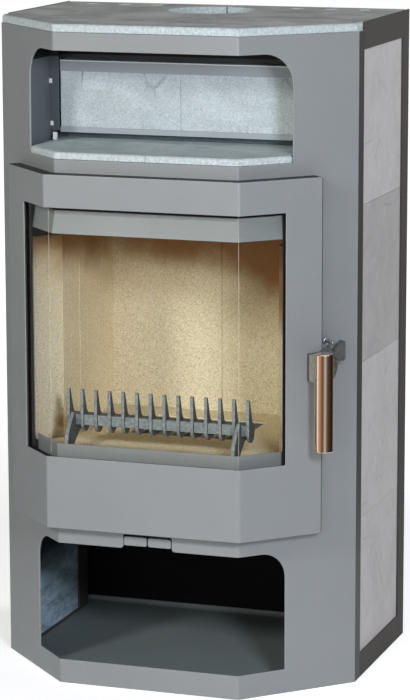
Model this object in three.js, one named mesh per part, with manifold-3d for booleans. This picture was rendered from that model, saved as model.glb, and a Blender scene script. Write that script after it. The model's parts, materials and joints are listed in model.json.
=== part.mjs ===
// Free-standing wood stove. A folded steel front with three facets, soapstone side tiles, a
// soapstone top and shelf, and a brick-lined firebox behind a door with three panes of glass.
// There is a warming compartment above the fire and a log store below it.
// Millimetres, +Z up, the front faces -Y, the origin is on the floor at mid width and depth.
import * as THREE from 'three';
import { mergeVertices } from 'three/addons/utils/BufferGeometryUtils.js';
import Module from 'manifold-3d';

const wasm = await Module();
wasm.setup();

// ---------------------------------------------------------------- driving dimensions

// Cabinet
const bodyWidth = 630;
const bodyDepth = 468;
const bodyHeight = 1100; // top edge of the front sheet
const centreFacetWidth = 318;
const facetSetback = 158; // how far the outer facets run back
const sheet = 3;
const seat = 0.3; // clearance between two pieces that rest on each other
const overlap = 0.5; // how far two welded parts of one piece run into each other
const returnWidth = 30.5; // the front sheet's fold round onto the side
const basePlateThickness = 8;
const baseFlangeHeight = 12;

// Openings in the front, from the top down
const lintelHeight = 30;
const compartmentHeight = 178;
const compartmentReach = 101; // along the outer facet from the fold
const compartmentRadius = 53;
const doorDrop = 21.5; // compartment sill to the door's top edge
const fireOpeningReach = 108;
const ashOpeningHeight = 82;
const ashOpeningHalfWidth = 115;
const logDrop = 30.5; // door's bottom edge to the log store's top edge
const logSill = 41;
const logReach = 88;
const logRadius = 44;
const notchHalfWidth = 43;
const notchHeight = 24;
const notchRadius = 3.5;
const notchFlare = 5; // rounding where the notch opens into the log store's edge
const arcSteps = 8;

// Soapstone
const slabThickness = 30;
const slabRise = 14; // top slab above the front sheet
const stoneChamfer = 3;
const tilesPerSide = 4;
const tileThickness = 29.4;
const tileJoint = 0.4;
const tileLap = 8; // tile hidden behind the frame's edges
const sideWindowBottom = 42;
const topRailHeight = 46;
const rearStileWidth = 38;
const postWidth = 44; // inner flange behind the tiles' rear edges
const frontFlangeWidth = 26; // inner flange behind the tiles' front edges
const slabFlangeWidth = 22; // flange under the top slab's sides
const tongueLength = 22;
const shelfThickness = 11.7;
const backTileMargin = 16; // tile's end to the liner's wall
const backTileThickness = 14;

// Top slab holes
const flueRadius = 76;
const flueFromRear = 126;
const slitWidth = 2;
const ventRadius = 11;
const ventFromRear = 48;
const firstVentX = 128.5;
const ventPitch = 60.5;
const ventsPerSide = 3;

// Warming compartment
const linerBesideShelf = 4.5; // shelf's end to the liner's wall
const linerSheet = 2.5;
const linerDepth = 214;
const linerFlangeDepth = 166; // flange on each side wall, in front of the back tiles
const linerFlangeWidth = 16.7;
const linerFlangeBottom = 27.5; // above the compartment's sill
const railDepth = 173.5;
const railHeightUpper = 18.9;
const railHeightLower = 9.6;
const railLip = 2.5;
const railRib = 7; // rib behind the back tiles
const railTopBelowOpening = 31.7;
const tileShowing = 94.2; // height of back tile seen between the two rails

// Firebox
const plate = 4;
const fireboxInsideHinge = 12.5; // hinge line to the inner face of the firebox's side plate
const fireboxRearSpace = 49.7;
const fireboxHeadroom = 20.5; // door's top edge down to the firebox's top
const rearBrickThickness = 28;
const revealReach = 104;
const revealDepth = 53;
const frontBrickSide = 25; // outer side of the front brick
const rearWallInset = 36; // side plate to the corner where side and rear lining meet
const sideJointDepth = 205; // joint between the two side bricks, from the front
const floorBrickThickness = 15.7;
const liningDrop = 65; // glass opening's top edge down to the lining's top
const baffleThickness = 18;
const baffleDepth = 258;
const grateHalfWidth = 100;
const grateDepth = 150;
const grateFromRear = 138;
const grateThickness = 13;
const grateSlots = 9;
const grateSlotWidth = 9;
const grateRim = 14;
const grateLedge = 10;
const ashChamberHalfWidth = 125;
const ashChamberDepth = 330;
const ashPanClearance = 16;
const ashPanLength = 278;
const ashPanHeight = 60;
const panSheet = 1.5;
const collarWall = 4;
const collarGap = 1.5; // collar to the hole in the stone
const collarFlange = 20;
const collarBelowSlabTop = 36;

// Front of the firebox behind the glass
const bandReach = 83.3;
const lowerBandHeight = 26.7;
const lowerBandLip = 15; // above the hearth
const deflectorHeight = 38;
const deflectorLean = 6.5;
const deflectorBelowWindowTop = 7;

// Log retainer
const finCount = 14;
const finPitch = 24.4;
const finThickness = 5.6;
const retainerFromFront = 51; // front edges of the fins
const finTop = 98.3; // above the hearth
const finTip = 24;
const barBottom = 37;
const barHeight = 18;
const legThickness = 7;
const legTop = 61;
const legToe = 4.8; // behind the cabinet's front face

// Door
const doorHeight = 596;
const doorReach = 143.5;
const doorSkin = 2.5;
const doorFront = 24; // door's face in front of the cabinet's
const doorBack = 3;
const doorRadius = 6;
const windowReach = 75.5;
const windowHeight = 417;
const windowDrop = 55.5;
const glassThickness = 4;
const glassFront = 18;
const glassReach = 86;
const glassLap = 14; // above and below the opening
const glassSeam = 0.8;
const clampReach = 100;
const clampLap = 26;
const clampThickness = 4.7;
const clampShow = 1.5; // clamp's inner edge outside the opening's edge
const ropeReach = 112;
const ropeWidth = 9;
const ropeThickness = 8;

// Hinges
const hingeReach = 136;
const hingeOut = 13.5;
const hingeLugThickness = 6;
const hingeLugHalfWidth = 4.2;
const hingePinRadius = 3;
const hingePinLength = 20;
const hingeBoreClearance = 0.3;
const hingeFromEnds = 46;
const weldPlateReach = 12;

// Latch
const pivotReach = 121.3;
const pivotAboveDoorBottom = 286.5;
const gripRadius = 15.5;
const gripLength = 162.5;
const gripAbovePivot = 27;
const gripOut = 69;
const gripWall = 1.5;
const neckWidth = 14;
const neckTop = 19.5; // above the pivot
const neckBottom = -25.5;
const leverThickness = 6;
const leverGap = 1; // lever off the door's face
const cheekRadius = 47;
const noseThickness = 12;
const catchAlong = 41; // catch pin from the pivot
const catchAbove = 33;
const catchRadius = 3;
const catchHold = 3; // how far the pin reaches into the hook
const studRadius = 5;
const studClearance = 0.4;
const nutRadius = 8;
const nutThickness = 5;

// Air controls
const tabWidth = 40.3;
const tabHeight = 15;
const tabGap = 2.4; // between the two tabs
const tabAboveLogTop = 5.5;
const shutterWidth = 34;
const shutterThickness = 3.4;
const shutterStart = 70;
const shutterLength = 90;
const airHoleRadius = 13;
const airHoleFromFront = 100;
const airTravel = 40;
const ductHalfWidth = 62;
const ductDepth = 325;

// Rear panel
const ventSlots = 6;
const ventSlotWidth = 9;
const ventSlotHeight = 70;
const ventSlotPitch = 70;

// ---------------------------------------------------------------- derived sizes

const halfWidth = bodyWidth / 2;
const foldX = centreFacetWidth / 2;
const frontY = -bodyDepth / 2;
const rearY = bodyDepth / 2;
const facetAngle = Math.atan2(facetSetback, halfWidth - foldX);
const foldShift = Math.tan(facetAngle / 2); // a fold's sideways run per mm of offset
const slabTop = bodyHeight + slabRise;
const slabBottom = slabTop - slabThickness;
const compartmentTop = bodyHeight - lintelHeight;
const compartmentBottom = compartmentTop - compartmentHeight;
const doorTop = compartmentBottom - doorDrop;
const doorBottom = doorTop - doorHeight;
const logTop = doorBottom - logDrop;
const windowTop = doorTop - windowDrop;
const windowBottom = windowTop - windowHeight;
const hearth = windowBottom + 2;
const fireOpeningTop = windowTop + 7;
const fireOpeningBottom = windowBottom - 10;
const ashOpeningTop = hearth - 28;
const ashOpeningBottom = ashOpeningTop - ashOpeningHeight;
const fireboxTop = doorTop - fireboxHeadroom;
const fireboxHalf = onFacet(hingeReach, 0)[0] - fireboxInsideHinge;
const fireboxRear = rearY - fireboxRearSpace;
const floorPlateTop = hearth - floorBrickThickness - seat;
const liningTop = windowTop - liningDrop;
const returnY = frontY + facetSetback + returnWidth;
const innerSide = halfWidth - sheet; // inner face of the side sheets
const tileFrontY = returnY - tileLap;
const tileRearY = rearY - rearStileWidth + tileLap;
const tileOuterX = innerSide - seat;
const tileInnerX = tileOuterX - tileThickness;
const flueY = rearY - flueFromRear;
const collarOuter = flueRadius - collarGap;
const collarInner = collarOuter - collarWall;
const pivotZ = doorBottom + pivotAboveDoorBottom;
const shelfPlateTop = ashOpeningBottom - plate - seat;
const shelfHalfWidth = onFacet(compartmentReach, -sheet)[0] - seat; // clear of the opening's edge
const linerHalfWidth = shelfHalfWidth + linerBesideShelf;
const backTileHalfWidth = linerHalfWidth - backTileMargin;

// ---------------------------------------------------------------- materials

function finish(color, roughness, metalness) {
  return new THREE.MeshStandardMaterial({ color, roughness, metalness });
}
const paint = finish(0x8b8e92, 0.5, 0.3);
const darkPaint = finish(0x43474a, 0.6, 0.3);
const blackPaint = finish(0x1b1c1d, 0.8, 0.2);
const soapstone = finish(0xa9aeab, 0.8, 0);
const fireBrick = finish(0xc9ae7c, 0.95, 0);
const castIron = finish(0x5c6164, 0.7, 0.4);
const chrome = finish(0xd8d2c8, 0.15, 1);
const steel = finish(0xa4a6a8, 0.4, 0.8);
const ropeFibre = finish(0x2c2b29, 1, 0);
const glass = new THREE.MeshStandardMaterial({
  color: 0xe8ecea, roughness: 0.05, metalness: 0, transparent: true, opacity: 0.25,
});

// ---------------------------------------------------------------- solid helpers

function toSolid(geometry) {
  const bare = geometry.clone();
  bare.deleteAttribute('normal');
  bare.deleteAttribute('uv');
  const merged = mergeVertices(bare, 1e-4);
  return new wasm.Manifold(new wasm.Mesh({
    numProp: 3,
    vertProperties: new Float32Array(merged.attributes.position.array),
    triVerts: new Uint32Array(merged.index.array),
  }));
}

function toGeometry(solid) {
  const mesh = solid.getMesh();
  const geometry = new THREE.BufferGeometry();
  geometry.setAttribute('position', new THREE.BufferAttribute(mesh.vertProperties, 3));
  geometry.setIndex(new THREE.BufferAttribute(mesh.triVerts, 1));
  return geometry;
}

function join(...geometries) {
  return toGeometry(geometries.map(toSolid).reduce((sum, solid) => sum.add(solid)));
}

function cut(geometry, ...tools) {
  return toGeometry(tools.map(toSolid).reduce((rest, tool) => rest.subtract(tool), toSolid(geometry)));
}

// The same piece on the other side of the cabinet
function mirrored(geometry) {
  const copy = geometry.index ? geometry.toNonIndexed() : geometry.clone();
  copy.deleteAttribute('normal');
  copy.deleteAttribute('uv');
  copy.scale(-1, 1, 1);
  const position = copy.attributes.position;
  const corner = new THREE.Vector3();
  const other = new THREE.Vector3();
  for (let i = 0; i < position.count; i += 3) {
    corner.fromBufferAttribute(position, i + 1);
    other.fromBufferAttribute(position, i + 2);
    position.setXYZ(i + 1, other.x, other.y, other.z);
    position.setXYZ(i + 2, corner.x, corner.y, corner.z);
  }
  return mergeVertices(copy, 1e-4);
}

function outline(points) {
  return new THREE.Shape(points.map(([x, y]) => new THREE.Vector2(x, y)));
}

function block(x0, x1, y0, y1, z0, z1) {
  return new THREE.BoxGeometry(x1 - x0, y1 - y0, z1 - z0)
    .translate((x0 + x1) / 2, (y0 + y1) / 2, (z0 + z1) / 2);
}

// A plan outline extruded upwards
function prism(points, z0, z1) {
  return new THREE.ExtrudeGeometry(outline(points), { depth: z1 - z0, bevelEnabled: false })
    .translate(0, 0, z0);
}

function upright(radius, x, y, z0, z1, sides = 32) {
  return new THREE.CylinderGeometry(radius, radius, z1 - z0, sides)
    .rotateX(Math.PI / 2)
    .translate(x, y, (z0 + z1) / 2);
}

// Closed body through outlines of equal length stacked upwards: [[z, points], ...]
function stack(levels) {
  const count = levels[0][1].length;
  const positions = [];
  levels.forEach(([z, points]) => points.forEach(([x, y]) => positions.push(x, y, z)));
  const indices = [];
  for (let level = 0; level < levels.length - 1; level += 1) {
    for (let i = 0; i < count; i += 1) {
      const a = level * count + i;
      const b = level * count + ((i + 1) % count);
      indices.push(a, b, b + count, a, b + count, a + count);
    }
  }
  const faces = THREE.ShapeUtils.triangulateShape(
    levels[0][1].map(([x, y]) => new THREE.Vector2(x, y)),
    [],
  );
  const top = (levels.length - 1) * count;
  faces.forEach(([a, b, c]) => {
    indices.push(a, c, b);
    indices.push(a + top, b + top, c + top);
  });
  const geometry = new THREE.BufferGeometry();
  geometry.setAttribute('position', new THREE.Float32BufferAttribute(positions, 3));
  geometry.setIndex(indices);
  return geometry;
}

// ---------------------------------------------------------------- the faceted front

// Plan point of the right outer facet: s along it from the fold, t outwards from its face
function onFacet(s, t) {
  return [
    foldX + s * Math.cos(facetAngle) + t * Math.sin(facetAngle),
    frontY + s * Math.sin(facetAngle) - t * Math.cos(facetAngle),
  ];
}

// Where the facet plane offset by t crosses a given x
function facetYAt(x, t) {
  const s = (x - foldX - t * Math.sin(facetAngle)) / Math.cos(facetAngle);
  return onFacet(s, t)[1];
}

function mirrorPoint([x, y]) {
  return [-x, y];
}

// Four plan points from left to right along the three facets, t in front of them
function frontRow(t, reach) {
  const fold = [foldX + t * foldShift, frontY - t];
  const end = onFacet(reach, t);
  return [mirrorPoint(end), mirrorPoint(fold), fold, end];
}

// Upright plate folded along the three facets
function foldedPlate(tBack, tFront, reach, z0, z1) {
  return prism([...frontRow(tFront, reach), ...frontRow(tBack, reach).reverse()], z0, z1);
}

// Shape in (s, z) on the right facet, from tBack to tFront
function facetPrism(shape, tBack, tFront) {
  const [x, y] = onFacet(0, tBack);
  const along = new THREE.Vector3(Math.cos(facetAngle), Math.sin(facetAngle), 0);
  const out = new THREE.Vector3(Math.sin(facetAngle), -Math.cos(facetAngle), 0);
  const place = new THREE.Matrix4().makeBasis(along, new THREE.Vector3(0, 0, 1), out);
  place.setPosition(x, y, 0);
  return new THREE.ExtrudeGeometry(shape, {
    depth: tFront - tBack, bevelEnabled: false, curveSegments: arcSteps,
  }).applyMatrix4(place);
}

// Shape in (x, z) on the middle facet, from tBack to tFront
function centrePrism(shape, tBack, tFront, steps = arcSteps) {
  const place = new THREE.Matrix4().makeBasis(
    new THREE.Vector3(1, 0, 0),
    new THREE.Vector3(0, 0, 1),
    new THREE.Vector3(0, -1, 0),
  );
  place.setPosition(0, frontY - tBack, 0);
  return new THREE.ExtrudeGeometry(shape, {
    depth: tFront - tBack, bevelEnabled: false, curveSegments: steps,
  }).applyMatrix4(place);
}

// Shape in (y, z) seen from the right, from x0 to x1
function sidePrism(shape, x0, x1) {
  const place = new THREE.Matrix4().makeBasis(
    new THREE.Vector3(0, 1, 0),
    new THREE.Vector3(0, 0, 1),
    new THREE.Vector3(1, 0, 0),
  );
  place.setPosition(x0, 0, 0);
  return new THREE.ExtrudeGeometry(shape, {
    depth: x1 - x0, bevelEnabled: false, curveSegments: arcSteps,
  }).applyMatrix4(place);
}

function rectangle(x0, x1, z0, z1) {
  return outline([[x0, z0], [x1, z0], [x1, z1], [x0, z1]]);
}

// Rectangle from x0 to x1 whose far corners are rounded below and above
function panelShape(x0, x1, z0, z1, lowRadius, highRadius) {
  const low = Math.min(lowRadius, (z1 - z0) / 2);
  const high = Math.min(highRadius, (z1 - z0) / 2);
  const shape = new THREE.Shape();
  shape.moveTo(x0, z0);
  shape.lineTo(x1 - low, z0);
  if (low > 0) shape.absarc(x1 - low, z0 + low, low, -Math.PI / 2, 0, false);
  shape.lineTo(x1, z1 - high);
  if (high > 0) shape.absarc(x1 - high, z1 - high, high, 0, Math.PI / 2, false);
  shape.lineTo(x0, z1);
  shape.closePath();
  return shape;
}

function roundedRectangle(x0, x1, z0, z1, radius) {
  const shape = new THREE.Shape();
  shape.absarc(x0 + radius, z0 + radius, radius, Math.PI, 1.5 * Math.PI, false);
  shape.absarc(x1 - radius, z0 + radius, radius, 1.5 * Math.PI, 2 * Math.PI, false);
  shape.absarc(x1 - radius, z1 - radius, radius, 0, Math.PI / 2, false);
  shape.absarc(x0 + radius, z1 - radius, radius, Math.PI / 2, Math.PI, false);
  shape.closePath();
  return shape;
}

// Tool that opens all three facets out to the given reach
function openingTool(reach, z0, z1, lowRadius, highRadius, tBack, tFront) {
  const foldPart = reach / 4;
  const wing = facetPrism(panelShape(foldPart / 2, reach, z0, z1, lowRadius, highRadius), tBack, tFront);
  return join(foldedPlate(tBack, tFront, foldPart, z0, z1), wing, mirrored(wing));
}

// Plate folded along the facets with an opening in it
function foldedRing(tBack, tFront, reachOut, reachIn, outZ, inZ) {
  return cut(
    foldedPlate(tBack, tFront, reachOut, outZ[0], outZ[1]),
    openingTool(reachIn, inZ[0], inZ[1], 0, 0, tBack - 5, tFront + 5),
  );
}

// Plan outline of the cabinet's inside, clear of its sheets by the inset
function cabinetPlan(inset, side, rear) {
  const fold = [foldX - inset * foldShift, frontY + inset];
  const shoulder = [side, facetYAt(side, -inset)];
  const corner = [side, rear];
  return [fold, shoulder, corner, mirrorPoint(corner), mirrorPoint(shoulder), mirrorPoint(fold)];
}

// ---------------------------------------------------------------- assembly

const stove = new THREE.Group();

function add(name, geometry, material, parent = stove) {
  const mesh = new THREE.Mesh(geometry, material);
  mesh.name = name;
  parent.add(mesh);
  return mesh;
}

function addPair(name, rightGeometry, material) {
  add(`${name}_right`, rightGeometry, material);
  add(`${name}_left`, mirrored(rightGeometry), material);
}

// ---------------------------------------------------------------- cabinet

function basePlate() {
  const rear = rearY - sheet - seat;
  const plan = cabinetPlan(sheet + seat, innerSide - seat, rear);
  const flange = block(
    -innerSide + seat, innerSide - seat, rear - sheet, rear,
    basePlateThickness - overlap, basePlateThickness + baseFlangeHeight,
  );
  return join(prism(plan, 0, basePlateThickness), flange);
}

// Notch for the air tabs in the log store's upper edge
function notchShape() {
  const side = notchHalfWidth;
  const top = logTop + notchHeight;
  const wide = side + notchFlare;
  const shape = new THREE.Shape();
  shape.moveTo(-wide, logTop - 2 * notchRadius);
  shape.lineTo(-wide, logTop);
  shape.absarc(-wide, logTop + notchFlare, notchFlare, -Math.PI / 2, 0, false);
  shape.absarc(-side + notchRadius, top - notchRadius, notchRadius, Math.PI, Math.PI / 2, true);
  shape.absarc(side - notchRadius, top - notchRadius, notchRadius, Math.PI / 2, 0, true);
  shape.absarc(wide, logTop + notchFlare, notchFlare, Math.PI, 1.5 * Math.PI, false);
  shape.lineTo(wide, logTop - 2 * notchRadius);
  shape.closePath();
  return shape;
}

function frontShell() {
  const outer = [
    [halfWidth, returnY], [halfWidth, frontY + facetSetback], [foldX, frontY],
  ];
  const inner = [
    [foldX - sheet * foldShift, frontY + sheet],
    [innerSide, facetYAt(innerSide, -sheet)],
    [innerSide, returnY],
  ];
  const right = [...outer, ...outer.map(mirrorPoint).reverse()];
  const left = [...inner.map(mirrorPoint).reverse(), ...inner];
  const folded = prism([...right, ...left], 0, bodyHeight);
  const through = [-3 * sheet, 3 * sheet];
  const compartment = openingTool(
    compartmentReach, compartmentBottom, compartmentTop, 0, compartmentRadius, ...through,
  );
  const fire = openingTool(fireOpeningReach, fireOpeningBottom, fireOpeningTop, 6, 6, ...through);
  const logs = openingTool(logReach, logSill, logTop, 0, logRadius, ...through);
  const ash = centrePrism(
    roundedRectangle(-ashOpeningHalfWidth, ashOpeningHalfWidth, ashOpeningBottom, ashOpeningTop, 5),
    ...through,
  );
  const notch = centrePrism(notchShape(), ...through);
  const lugSlots = hingeHeights().map((z) => mirrored(facetPrism(
    rectangle(
      hingeReach - hingeLugHalfWidth - overlap, hingeReach + hingeLugHalfWidth + overlap,
      z - overlap, z + hingeLugThickness + overlap,
    ),
    ...through,
  )));
  return cut(folded, compartment, fire, logs, ash, notch, ...lugSlots);
}

function sideFrame() {
  const front = returnY + seat;
  const top = slabTop;
  const windowTopEdge = top - topRailHeight;
  const face = cut(
    sidePrism(rectangle(front, rearY, 0, top), innerSide, halfWidth),
    sidePrism(
      rectangle(front - 5, rearY - rearStileWidth, sideWindowBottom, windowTopEdge),
      innerSide - 5, halfWidth + 5,
    ),
  );
  const ledgeBottom = basePlateThickness + seat;
  const ledge = block(
    tileInnerX - seat - sheet, innerSide + overlap, front, tileRearY + seat + sheet,
    ledgeBottom, ledgeBottom + sheet,
  );
  const channelTop = windowTopEdge + tileLap + 2;
  const web = block(
    tileInnerX - seat - sheet, innerSide + overlap, tileRearY + seat, tileRearY + seat + sheet,
    ledgeBottom, channelTop,
  );
  const post = block(
    tileInnerX - seat - sheet, tileInnerX - seat, tileRearY + seat + sheet - postWidth,
    tileRearY + seat + sheet, ledgeBottom, channelTop,
  );
  const slabFlange = block(
    innerSide - slabFlangeWidth, innerSide + overlap, front, rearY - sheet - seat,
    slabBottom - seat - sheet, slabBottom - seat,
  );
  // Tongues that reach behind the front sheet's return
  const tongues = [ledgeBottom, slabBottom - seat - sheet].map((z) => block(
    innerSide - slabFlangeWidth, innerSide - seat, front - tongueLength, front + overlap, z, z + sheet,
  ));
  return join(face, ledge, web, post, slabFlange, ...tongues);
}

function tileStack() {
  const bottom = basePlateThickness + seat + sheet + seat;
  const top = slabTop - topRailHeight + tileLap;
  const height = (top - bottom - (tilesPerSide - 1) * tileJoint) / tilesPerSide;
  return { bottom, height };
}

// Angle that holds the tiles' front edges behind the front sheet's return
function tileChannel() {
  const webFront = tileFrontY - seat - sheet;
  const bottom = basePlateThickness + 2 * seat + sheet;
  const top = slabTop - topRailHeight + tileLap;
  const inner = tileInnerX - seat - sheet;
  return join(
    block(inner, tileOuterX, webFront, webFront + sheet, bottom, top),
    block(inner, inner + sheet, webFront, webFront + frontFlangeWidth, bottom, top),
  );
}

function rearPanel() {
  const width = innerSide - seat;
  const bottom = 2;
  const sheetPiece = block(-width, width, rearY - sheet, rearY, bottom, bodyHeight);
  const slots = [];
  const rows = [ashOpeningBottom + 10, compartmentBottom + 20];
  rows.forEach((z) => {
    for (let i = 0; i < ventSlots; i += 1) {
      const x = (i - (ventSlots - 1) / 2) * ventSlotPitch;
      slots.push(centrePrism(
        roundedRectangle(
          x - ventSlotWidth / 2, x + ventSlotWidth / 2, z, z + ventSlotHeight, ventSlotWidth / 2 - 0.01,
        ),
        -bodyDepth - 5, -bodyDepth + sheet + 5, 3,
      ));
    }
  });
  return cut(sheetPiece, ...slots);
}

function topSlab() {
  const side = innerSide - seat;
  const rear = rearY - sheet - seat;
  const seatLevel = bodyHeight + seat;
  const full = cabinetPlan(0, side, rear);
  const inset = cabinetPlan(stoneChamfer, side - stoneChamfer, rear - stoneChamfer);
  const upper = stack([[seatLevel, full], [slabTop - stoneChamfer, full], [slabTop, inset]]);
  const lower = prism(cabinetPlan(sheet + seat, side, rear), slabBottom, seatLevel + overlap);
  const drills = [upright(flueRadius, 0, flueY, slabBottom - 5, slabTop + 5, 48)];
  const slit = block(-slitWidth / 2, slitWidth / 2, flueY, rear + 5, slabBottom - 5, slabTop + 5);
  for (let i = 0; i < ventsPerSide; i += 1) {
    const x = firstVentX + i * ventPitch;
    drills.push(upright(ventRadius, x, rearY - ventFromRear, slabBottom - 5, slabTop + 5, 20));
    drills.push(upright(ventRadius, -x, rearY - ventFromRear, slabBottom - 5, slabTop + 5, 20));
  }
  return cut(join(upper, lower), ...drills, slit);
}

// ---------------------------------------------------------------- warming compartment

function linerPlan(inset) {
  return cabinetPlan(sheet + seat, linerHalfWidth + linerSheet - inset, frontY + linerDepth + linerSheet);
}

function compartmentLiner() {
  const outer = linerHalfWidth + linerSheet;
  const back = frontY + linerDepth;
  const floorTop = compartmentBottom - seat;
  const floor = prism(linerPlan(0), floorTop - linerSheet, floorTop);
  const roofBottom = compartmentTop + 4;
  const roof = prism(linerPlan(0), roofBottom, roofBottom + linerSheet);
  const wallPlan = [
    [linerHalfWidth, facetYAt(linerHalfWidth, -sheet - seat)],
    [outer, facetYAt(outer, -sheet - seat)],
    [outer, back + linerSheet],
    [linerHalfWidth, back + linerSheet],
  ];
  const wall = join(
    prism(wallPlan, floorTop - linerSheet, roofBottom + linerSheet),
    block(
      linerHalfWidth - linerFlangeWidth, outer - overlap, frontY + linerFlangeDepth,
      frontY + linerFlangeDepth + linerSheet, compartmentBottom + linerFlangeBottom,
      roofBottom + linerSheet,
    ),
  );
  const rear = block(
    -outer, outer, back, back + linerSheet, floorTop - linerSheet, roofBottom + linerSheet,
  );
  return join(floor, roof, wall, mirrored(wall), rear);
}

// Right half of the shelf, flush with the front sheet
function shelfHalf() {
  const bottom = compartmentBottom + seat;
  const top = bottom + shelfThickness;
  const rear = frontY + linerDepth - seat;
  const plan = (inset, seam) => [
    [seam, frontY + inset],
    [foldX - inset * foldShift, frontY + inset],
    [shelfHalfWidth - inset, facetYAt(shelfHalfWidth - inset, -inset)],
    [shelfHalfWidth - inset, rear],
    [seam, rear],
  ];
  const seam = tileJoint / 2;
  return stack([
    [bottom, plan(0, seam)],
    [top - stoneChamfer, plan(0, seam)],
    [top, plan(stoneChamfer, seam)],
  ]);
}

function backTileLevels() {
  const upperBottom = compartmentTop - railTopBelowOpening - railHeightUpper;
  const lowerTop = upperBottom - tileShowing;
  return { upperBottom, lowerTop };
}

function backTileFront() {
  return frontY + railDepth + railLip + seat;
}

// Angle along one long edge of the back tiles: a face in front of them, a rib behind them and
// a lip to the back wall
function tileRail(faceBottom, faceTop, lipBottom, ribBottom, ribTop) {
  const rear = frontY + linerDepth - seat;
  const face = frontY + railDepth;
  const rib = backTileFront() + backTileThickness + seat;
  return join(
    block(-backTileHalfWidth, backTileHalfWidth, face, face + railLip, faceBottom, faceTop),
    block(-backTileHalfWidth, backTileHalfWidth, face, rear, lipBottom, lipBottom + railLip),
    block(-backTileHalfWidth, backTileHalfWidth, rib, rib + railLip, ribBottom, ribTop),
  );
}

function upperRail() {
  const { upperBottom } = backTileLevels();
  const top = upperBottom + railHeightUpper;
  return tileRail(upperBottom, top, top - railLip, top - railLip - railRib, top - railLip + overlap);
}

function lowerRail() {
  const { lowerTop } = backTileLevels();
  const bottom = lowerTop - railHeightLower;
  return tileRail(bottom, lowerTop, bottom, bottom + railLip - overlap, bottom + railLip + railRib);
}

function backTile() {
  const { upperBottom, lowerTop } = backTileLevels();
  const front = backTileFront();
  return block(
    tileJoint / 2, backTileHalfWidth, front, front + backTileThickness,
    lowerTop - railHeightLower + railLip + seat, upperBottom + railHeightUpper - railLip - seat,
  );
}

// ---------------------------------------------------------------- firebox

function fireboxShelf() {
  const side = tileInnerX - 2 * seat - sheet;
  const rear = tileRearY;
  const plateTop = shelfPlateTop;
  const flangeBottom = doorBottom - 16;
  const deck = prism(cabinetPlan(sheet + seat, side, rear), plateTop - plate, plateTop);
  const sideFlange = block(side - sheet, side, returnY, rear, flangeBottom, plateTop);
  const frontFlange = cut(
    foldedPlate(-2 * sheet - seat, -sheet - seat, 150, flangeBottom, plateTop),
    block(-notchHalfWidth - 9, notchHalfWidth + 9, frontY, frontY + 20, flangeBottom - 5, plateTop - plate),
  );
  return join(deck, sideFlange, mirrored(sideFlange), frontFlange, airDuct(plateTop - plate));
}

// Heights in the air controls, from the tabs' level
const tabBottom = logTop + tabAboveLogTop;
const shutterTop = tabBottom + 13.2;
const shutterBottom = shutterTop - shutterThickness;
const ductFloorBottom = shutterTop + seat;
const shutterX = tabGap / 2 + tabWidth / 2;

// Duct below the deck, with the rails that carry the two shutters
function airDuct(deckBottom) {
  const front = frontY + 12;
  const back = frontY + ductDepth;
  const wall = 2.5;
  const lipDepth = 2.2;
  const shell = cut(
    block(-ductHalfWidth, ductHalfWidth, front, back, ductFloorBottom, deckBottom + overlap),
    block(-ductHalfWidth + wall, ductHalfWidth - wall, front + wall, back - wall,
      ductFloorBottom + wall, deckBottom + overlap + 1),
    upright(airHoleRadius, shutterX, frontY + airHoleFromFront, ductFloorBottom - 2,
      ductFloorBottom + wall + 2, 24),
    upright(airHoleRadius, -shutterX, frontY + airHoleFromFront, ductFloorBottom - 2,
      ductFloorBottom + wall + 2, 24),
  );
  const railTop = ductFloorBottom + overlap;
  const lipTop = shutterBottom - seat;
  const edge = shutterX + shutterWidth / 2 + seat;
  const innerEdge = shutterX - shutterWidth / 2 - seat;
  const railFront = frontY + 20;
  const railBack = frontY + 200;
  const outerRail = join(
    block(edge, edge + 2.5, railFront, railBack, lipTop - lipDepth, railTop),
    block(edge - 2, edge + 2.5, railFront, railBack, lipTop - lipDepth, lipTop),
  );
  const middleRail = join(
    block(-innerEdge, innerEdge, railFront, railBack, lipTop - lipDepth, railTop),
    block(-innerEdge - 2, innerEdge + 2, railFront, railBack, lipTop - lipDepth, lipTop),
  );
  return join(shell, outerRail, mirrored(outerRail), middleRail);
}

function airSlide() {
  const half = tabWidth / 2;
  const tab = centrePrism(
    roundedRectangle(shutterX - half, shutterX + half, tabBottom, tabBottom + tabHeight, 3),
    -sheet, 0,
  );
  const arm = block(
    shutterX - 6, shutterX + 6, frontY + sheet - overlap, frontY + shutterStart + overlap,
    shutterBottom, shutterTop,
  );
  const shutter = cut(
    block(
      shutterX - shutterWidth / 2, shutterX + shutterWidth / 2, frontY + shutterStart,
      frontY + shutterStart + shutterLength, shutterBottom, shutterTop,
    ),
    upright(airHoleRadius, shutterX, frontY + airHoleFromFront + airTravel, shutterBottom - 2,
      shutterTop + 2, 24),
  );
  return join(tab, arm, shutter);
}

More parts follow.
